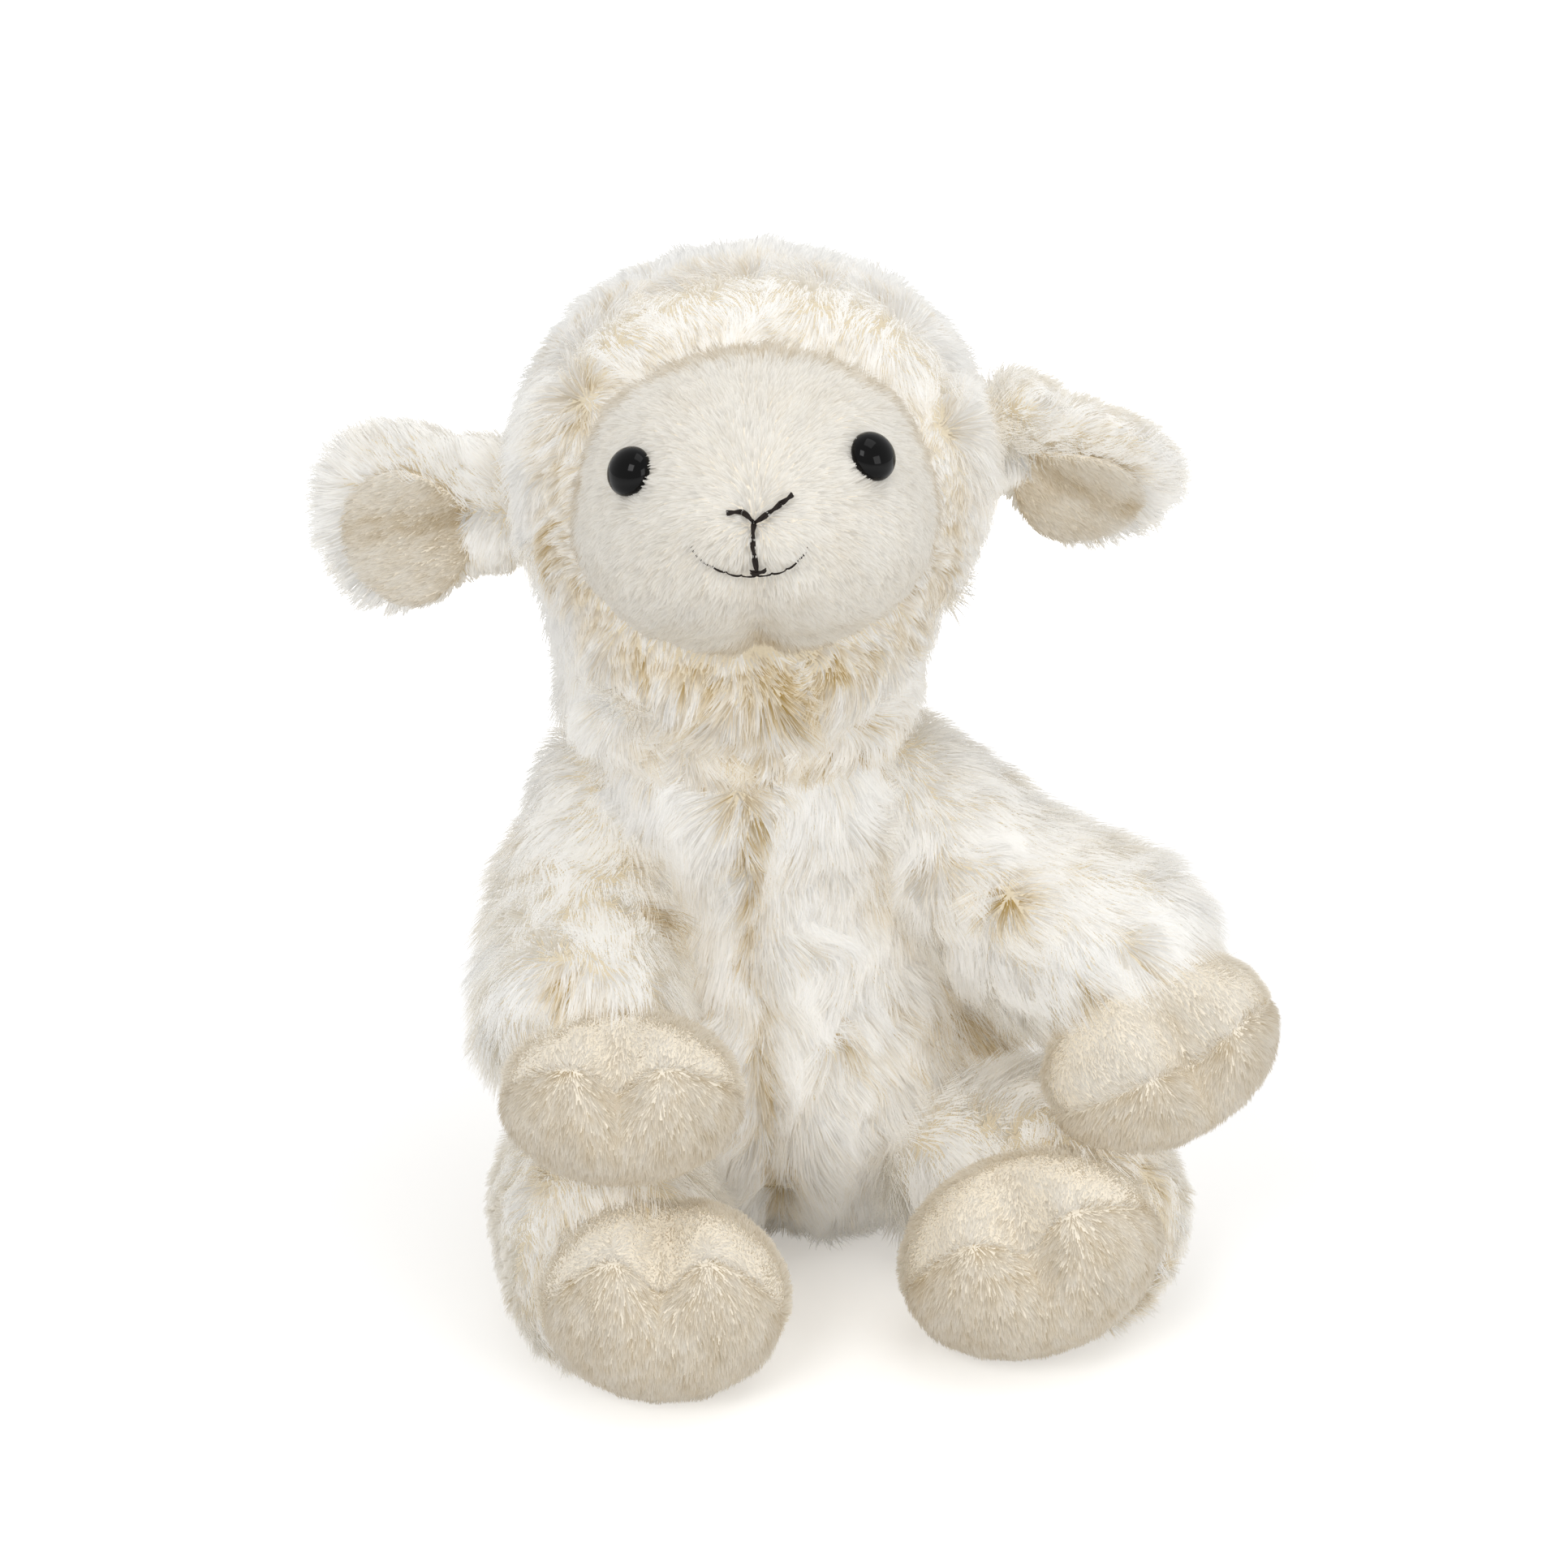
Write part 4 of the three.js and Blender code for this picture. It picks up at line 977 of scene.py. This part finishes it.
for side, name in both_sides:
    pose = ear_poses[name]
    half = (ear_length / 2 - 4.5, ear_half_thickness - 1, ear_half_width - 3.5)
    rings, lie, root = ear_rings(side, pose, half, ear_start, 0, 44, 34, root_widths[name], 0.6)
    skin = closed_skin(f"ear_skin_{name}", rings, backing)
    places, local, facing = ear_places(skin, lie, root)
    run = (side * local[:, 0] - ear_start) / ear_length
    outward = np.stack([side * ramp(run - 0.45) * 2.2, 0 * run, local[:, 2] / ear_half_width], -1)
    comb = (np.array([side * 0.35, 0.0, -0.1]) + unit(outward) * 1.2) @ lie.T
    comb = comb + swirl(places, 9, 27 + side) * 0.5
    tone = 0.03 + 0.2 * uneven(places, 9, 15 + side) + 0.25 * cracks(places, 8, 16)
    pile = 0.9 + 0.3 * uneven(places, 6, 17) - 0.2 * ramp(local[:, 2] / 15)
    pile *= 1 - 0.6 * ramp(-local[:, 2] / 8) * ramp((0.6 - run) / 0.2)
    covered = ramp((facing - 0.1) / 0.3) * (run > 0.1)
    middle = np.hypot((local[:, 2] + 3) / (ear_half_width * 0.66), (run - 0.42) / 0.32)
    comb_skin(skin, comb, pile, tone, 1 - covered * ramp((0.95 - middle) / 0.15))
    grow(f"ear_fur_{name}", skin, f"ear_{name}", long_pile, "long_pile", 61 + side, strands=4.2e6,
         length=8.5 * mm, lay=0.66, floor=-1.0)
    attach(skin, f"ear_{name}")
    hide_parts(f"ear_{name}_back")
    half = (ear_length * 0.3, 2.0, ear_half_width * 0.68)
    start = ear_start + ear_length * lining_share
    rings, lie, root = ear_rings(side, pose, half, start, lining_rise, 40, 30, 0, 1.0)
    lining = closed_skin(f"ear_lining_skin_{name}", rings - lining_drop * lie[:, 2], short_backing)
    places, local, facing = ear_places(lining, lie, root)
    comb = np.array([side, 0.0, -0.25]) @ lie.T + np.zeros_like(places)
    # The lining is darker along its middle fold and towards the root: painted shade in the fold and where the
    # hood cups the ear.
    tone = 0.35 + 0.3 * uneven(places, 7, 21 + side) + 0.3 * hump(local[:, 2], 3.5)
    tone += 0.25 * ramp(1 - (side * local[:, 0] - 12) / 14)
    pile = 1 + 0.3 * uneven(places, 5, 23)
    comb_skin(lining, comb, pile, tone, ramp(facing * 3 + 0.6))
    grow(f"ear_lining_pile_{name}", lining, f"ear_{name}", short_pile, "short_pile", 71 + side, strands=6e6,
         length=2.4 * mm, lay=0.72, tuft_size=4 * mm, tuft_sweep=0.5, stray=0.18, clump_spacing=1.3 * mm,
         floor=-1.0, **short_settings)
    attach(lining, f"ear_{name}")
    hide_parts(f"ear_{name}_lining")


# Arms: tubes of long plush, sewn to the body at the shoulder and gathered at the wrist over
# a hoof of short pile. The pile lies towards the wrist, and whorls in it show its tan roots.

def step(start, length, side, splay, drop):
    """The next place along a limb: splay is outwards and drop is downwards, in degrees."""
    splay, drop = math.radians(splay), math.radians(drop)
    level = math.cos(drop) * length
    ahead = [side * math.sin(splay) * level, -math.cos(splay) * level, -math.sin(drop) * length]
    return start + np.array(ahead)


def limb_rings(route, radii, inset, around, along):
    """Rings of a limb along its route with rounded ends, and each ring's heading."""
    path = through(route, along)
    radius = through([[r] for r in radii], along)[:, 0] - inset
    heading = unit(np.gradient(path, axis=0))
    ends = np.radians([90, 72, 54, 36, 18])
    stations = [(0, -math.sin(a), math.cos(a)) for a in ends] + [(i, 0, 1) for i in range(along + 1)]
    stations += [(along, math.sin(a), math.cos(a)) for a in ends[::-1]]
    turn = circle(around)[:, None]
    rings, headings = [], []
    for i, push, share in stations:
        centre = path[i] + heading[i] * push * radius[i]
        across = unit(np.array([-heading[i][1], heading[i][0], 0]))
        upward = np.cross(heading[i], across)
        rings.append(centre + (np.cos(turn) * across + np.sin(turn) * upward) * share * radius[i])
        headings.append(heading[i])
    return np.array(rings), np.array(headings)


def per_vertex(values, around):
    """One value for each ring as one for each vertex of its skin."""
    values = np.asarray(values)
    return np.concatenate([values[:1], np.repeat(values[1:-1], around, axis=0), values[-1:]])


def lay_hoof(position, side, lift, turn, roll):
    """A hoof's middle, and how it lies: how far its tip is raised, turned out and rolled."""
    return np.asarray(position), np.array(turned_by((side * turn, "Z"), (roll, "Y"), (-lift, "X")))


def hoof_unit(p, hoof, half):
    """Places as shares of a hoof's half sizes, from its middle."""
    return ((p - hoof[0]) @ hoof[1]) / half


def outside_hoof(p, hoof, half):
    """How far places lie outside a hoof, in millimetres."""
    v = hoof_unit(p, hoof, half)
    return (np.linalg.norm(v, axis=-1) - 1) * half.mean()


hoof_inset = 1.4
hoof_wall = 1.2
toe_lobe = 0.07


def hoof_place(v, hoof, half, inset, seam_dip):
    """A hoof's surface: an egg with a cleft between two rounded toes."""
    toe = np.maximum(-v[..., 1], 0)
    cleft = hump(v[..., 0], 0.24) * toe**1.5
    lobe = hump(np.abs(v[..., 0]) - 0.48, 0.3) * toe**2
    size = half - inset - seam_dip[..., None]
    length = size[..., 1] * (1 - 0.4 * cleft + toe_lobe * lobe)
    height = size[..., 2] * (1 + 0.5 * toe_lobe * lobe)
    p = np.stack([v[..., 0] * size[..., 0], v[..., 1] * length, v[..., 2] * height], -1)
    return p @ hoof[1].T + hoof[0]


def hoof_shell(name, hoof, half, seam, upper, finish):
    """The upper or the sole of a hoof: a thin shell whose edge rolls in at the seam."""
    around, along = 72, 26
    turn = circle(around)
    toward_tip = ramp(-np.sin(turn))
    cleft = hump(np.cos(turn), 0.22) * toward_tip
    edge = np.degrees(np.arcsin(seam)) - 9 * cleft + 3 * hump(np.abs(np.cos(turn)) - 0.5, 0.25) * toward_tip
    pole = 90 if upper else -90
    rings = []
    down = np.linspace(0, 1, along)
    for inset, seam_dip, order in ((hoof_inset, 1, down), (hoof_inset + hoof_wall, 0.6, 1 - down)):
        for t in order:
            rise = np.radians(pole + (edge - pole) * t)
            v = level_ring(turn, np.cos(rise), np.sin(rise))
            dip = 0.5 * hump(np.degrees(rise) - edge, 10.0)
            rings.append(hoof_place(v, hoof, half, inset, dip * seam_dip))
    return closed_skin(name, np.array(rings), finish)


def dress_hoof(name, parts, hoof, half, seam, body, seed):
    """Both pieces of a hoof with their pile."""
    for upper, part in zip((True, False), parts):
        skin = hoof_shell(f"{name}_{part}_skin", hoof, half, seam, upper, short_backing)
        places, normals = places_of(skin)
        v = hoof_unit(places, hoof, half)
        outer = (normals * (places - hoof[0])).sum(-1) > 0
        toward = np.array([0, -1.0, 0]) if upper else np.array([0, 0.7, -0.3])
        comb = toward @ hoof[1].T + [0, 0, -0.5] + np.zeros_like(places)
        groove = hump((v[:, 2] - seam) * half[2], 2.2)
        # The sole is darker than the upper: painted shade, as it faces down, away from the lamps above.
        tone = (0.28 if upper else 0.56) + 0.3 * uneven(places, 7, seed) + 0.12 * groove
        # Painted shade in the cleft between the two toes.
        tone += 0.35 * hump(v[:, 0], 0.1) * ramp(-v[:, 1] * 1.4 - 0.3)
        pile = 1 + 0.3 * uneven(places, 5, seed + 1)
        comb_skin(skin, comb, pile, tone, outer)
        grow(f"{name}_{part}_pile", skin, body, short_pile, "short_pile", seed, strands=5.3e6,
             length=2.8 * mm, width=0.26 * mm, lay=0.64, tuft_size=5 * mm, tuft_sweep=0.6, stray=0.18,
             clump_spacing=1.2 * mm, **short_settings)
        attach(skin, body)
        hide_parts(f"{name}_{part}")


def dress_limb(name, body, route, radii, inset, hoof, half, parts, seam, spots, seed, strands, slim,
               bulge=None):
    """The sleeve, filling and hoof of a limb."""
    around = 56
    rings, headings = limb_rings(route, radii, inset, around, 30)
    rings[..., 2] = np.maximum(rings[..., 2], 0.2)
    sleeve = closed_skin(f"{name}_skin", rings, backing)
    places, normals = places_of(sleeve)
    if bulge:
        places, normals = pushed(sleeve, bulge[2] * near(places, bulge[0], bulge[1]))
    comb = per_vertex(headings, around) + [0, 0, -0.35] + swirl(places, 9, seed) * 1.2
    tone = 0.2 * uneven(places, 12, seed) + 0.35 * cracks(places, 10, seed)
    hoof_gap = outside_hoof(places, hoof, half)
    tone += 0.5 * hump(hoof_gap, 2.5)
    comb, tone = whorls(places, comb, tone, spots)
    pile = 1 + 0.3 * uneven(places, 8, seed + 1)
    if not slim:
        from_root = np.linalg.norm(places - route[0], axis=1)
        comb += np.array([0.8 * np.sign(hoof[0][0]), 0, -0.6]) * ramp(1 - from_root / 25)[:, None]
        pile *= ramp(0.45 + from_root / 36)
    outer_side = ramp(np.sign(hoof[0][0]) * normals[:, 0])
    pile *= np.clip((places[:, 2] - 0.5) / 4, 0.3, 1) * (1 - slim * outer_side)
    thick = ramp((hoof_gap + 2) / 1.5) * ramp((outside_body(places, long_pile_height) + 2) / 3)
    thick *= np.where((places[:, 2] < 1.0) & (normals[:, 2] < -0.5), 0.1, 1)
    comb_skin(sleeve, comb, pile, tone, thick)
    grow(f"{name}_fur", sleeve, body, long_pile, "long_pile", seed, strands=strands, length=10.5 * mm)
    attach(sleeve, body)
    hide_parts(f"{name}_sleeve")
    rings = limb_rings([*route, hoof[0]], [*radii, radii[-1] * 0.7], inset + 3.5, 24, 16)[0]
    rings[..., 2] = np.maximum(rings[..., 2], 3)
    wad(f"{name}_filling", rings, 1.0, fibre, body, f"{name}_stuffing")
    dress_hoof(name, parts, hoof, half, seam, body, seed + 3)


arm_radii = [14, 18, 20.5]
hand_half = np.array([24.5, 19, 17.5])
arm_insets = {"right": 3.5, "left": 2.0}
hand_shifts = {"right": np.array([2.0, 0, 1.5]), "left": np.array([-3.5, 0, -1.0])}
hand_sizes = {"right": 1.0, "left": 1.07}
shoulder_height, shoulder_reach = 98.5, 36.92
shoulder = np.array([*body_centre(shoulder_height), shoulder_height])
upper_arm, forearm, palm = 25, 27, 25
sewn_in, sewn_up = 5.5, 2.5
# The splay and the drop of each length of the arm, then how the hoof is raised, turned and rolled.
arm_poses = {"right": ((-9, 0, -18), (38, 29, 25), 45, 0, 0),
             "left": ((52, 56, 40), (39, 20, 31), 25, 25, -20)}
arm_spots = {
    "right": [((-46, -60, 82), 5, 0.8), ((-32, -30, 98), 8, 0.7), ((-30, -36, 84), 8, 0.7),
              ((-34, -46, 74), 7, 0.6)],
    "left": [((42, -36, 88), 7, 0.8), ((28, -28, 92), 6, 0.6), ((64, -47, 84), 5, 0.25)],
}
for side, name in both_sides:
    splay, drop, lift, turn_out, roll = arm_poses[name]
    root = shoulder + [side * shoulder_reach, 0, 0]
    elbow = step(root, upper_arm, side, splay[0], drop[0])
    wrist = step(elbow, forearm, side, splay[1], drop[1])
    middle = step(wrist, palm, side, splay[2], drop[2]) + hand_shifts[name]
    hand = lay_hoof(middle, side, lift, turn_out, roll)
    sewn_root = root + [-side * sewn_in, 0, sewn_up]
    dress_limb(f"arm_{name}", f"arm_{name}", [sewn_root, elbow, wrist], arm_radii, arm_insets[name], hand,
               hand_half * hand_sizes[name], ("hoof", "sole"), 0.0, arm_spots[name], 81 + 10 * side,
               3.3e6, 0)


# Legs: short tubes of long plush, sewn into the bottom of the body and lying on the floor.
# Each ends in a foot of short pile with two toes, stitched round the edge of its sole.

leg_radii = [20, 24, 23.5]
leg_inset = 4.5
foot_half = np.array([25.5, 21.5, 20])
hip_reach, hip_front, hip_height, ankle_height = 34.8, -26.32, 24, 23
thigh, shin, instep = 19, 16, 24
# The splay of each length of the leg, how the foot is raised, turned and rolled, and its sole's share.
leg_poses = {"right": ((25, -10, -32), 65, 0, 0, 0.25), "left": ((62, 30, -36), 45, 5, -18, 0.0)}
leg_spots = {
    "right": [((-52, -62, 40), 7, 0.4), ((-30, -52, 42), 7, 0.3)],
    "left": [((43, -54, 47), 8, 0.8), ((60, -44, 46), 7, 0.4)],
}
foot_shifts = {"right": np.zeros(3), "left": np.array([1.0, 3.0, 2.5])}
foot_sizes = {"right": np.ones(3), "left": np.array([1.08, 1.04, 1.04])}
leg_bulges = {"right": ((-52, -74, 9), 12, 5), "left": None}
for side, name in both_sides:
    splay, lift, turn_out, roll, sole_share = leg_poses[name]
    hip = np.array([side * hip_reach, hip_front, hip_height - floor_press])
    knee = step(hip, thigh, side, splay[0], 0)
    ankle = step(knee, shin, side, splay[1], 0)
    foot = step(ankle, instep, side, splay[2], 0)
    ankle[2] = ankle_height
    raised = math.radians(lift)
    foot[2] = math.hypot(foot_half[1] * math.sin(raised), foot_half[2] * math.cos(raised)) - floor_press
    foot += foot_shifts[name]
    hoof = lay_hoof(foot, side, lift, turn_out, roll)
    dress_limb(f"leg_{name}", f"leg_{name}", [hip, knee, ankle], leg_radii, leg_inset, hoof,
               foot_half * foot_sizes[name], ("foot", "sole"), -sole_share, leg_spots[name],
               121 + 10 * side, 3.1e6, 0.6, leg_bulges[name])


# Tail: a short stub of long plush, sewn into the back seam low on the body.
# It holds no stuffing of its own, and its pile makes most of its size.

tail_root = np.array([-3.2, 39.34, 30.0])
tail_tip = tail_root + [0, 15, -10.5]
tail_radii = [5.5, 8.5]
tail_around = 28
rings, headings = limb_rings([tail_root, tail_tip], tail_radii, 3, tail_around, 10)
tail_skin = closed_skin("tail_skin", rings, backing)
places, normals = places_of(tail_skin)
comb = per_vertex(headings, tail_around) + [0, 0.1, -0.3]
tone = 0.12 + 0.3 * uneven(places, 8, 151)
comb_skin(tail_skin, comb, 1.0, tone, 1.0)
grow("tail_fur", tail_skin, "tail", long_pile, "long_pile", 151, length=10 * mm)
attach(tail_skin, "tail")
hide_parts("tail")


# The photograph's stand: a white floor, soft lamps and the camera, seen a little from above.
# The floor glows only where the camera sees it, so it looks white and doesn't light the toy.

scene = bpy.context.scene
camera_lens, film_width, camera_reach = 75.69, 36, 0.7
look_down = math.radians(22)
aim = Vector((-3.4, 0, 98.6)) * mm
camera_data = bpy.data.cameras.new("camera")
camera_data.lens = camera_lens
camera_data.sensor_width = film_width
camera = put_in("camera", camera_data)
camera.location = aim - Vector((0, math.cos(look_down), -math.sin(look_down))) * camera_reach
camera.rotation_euler = (math.pi / 2 - look_down, 0, 0)
scene.camera = camera
scene.view_settings.view_transform = "Standard"


def seen_directly(tree):
    """1 for what the camera sees itself, or in a gloss or through something clear."""
    path = tree.nodes.new("ShaderNodeLightPath").outputs
    seen = sums(tree, "MAXIMUM", path["Is Camera Ray"], path["Is Glossy Ray"])
    return sums(tree, "MAXIMUM", seen, path["Is Transmission Ray"])


floor_half = 4
corners = [(-1, -1), (1, -1), (1, 1), (-1, 1)]
floor_mesh = bpy.data.meshes.new("floor")
floor_mesh.from_pydata([(x * floor_half, y * floor_half, 0) for x, y in corners], [], [(0, 1, 2, 3)])
floor_piece = put_in("floor", floor_mesh)
floor_finish, tree, shader = new_finish("white floor", 1, 0)
shader.inputs["Base Color"].default_value = (0.86, 0.86, 0.86, 1)
place = tree.nodes.new("ShaderNodeTexCoord").outputs["Object"]
away = wire(tree, "ShaderNodeVectorMath", {0: place}, operation="LENGTH").outputs["Value"]
feeds = {"Value": away, "From Min": 0.14, "From Max": 0.5, "To Min": 0.25, "To Max": 1.0}
glow = wire(tree, "ShaderNodeMapRange", feeds).outputs[0]
tree.links.new(sums(tree, "MULTIPLY", seen_directly(tree), glow), shader.inputs["Emission Strength"])
shader.inputs["Emission Color"].default_value = (1, 1, 1, 1)
floor_mesh.materials.append(floor_finish)

world = bpy.data.worlds.new("studio")
scene.world = world
world.use_nodes = True
tree = world.node_tree
background = tree.nodes["Background"]
background.inputs["Color"].default_value = (1, 1, 1, 1)
strength = sums(tree, "ADD", sums(tree, "MULTIPLY", seen_directly(tree), 0.3), 0.7)
tree.links.new(strength, background.inputs["Strength"])

lit_place = Vector((0, 0, 0.1))
for name, place, size, power in (
    ("key", (-0.5, -0.9, 1.0), 0.5, 4.6),
    ("top", (0.25, -0.1, 1.3), 0.7, 2.6),
    ("fill", (0.9, -0.9, 0.5), 0.6, 3.6),
):
    lamp_data = bpy.data.lights.new(name, "AREA")
    lamp_data.energy = power
    lamp_data.size = size
    lamp = put_in(name, lamp_data)
    lamp.location = place
    lamp.rotation_euler = (Vector(place) - lit_place).to_track_quat("Z", "Y").to_euler()
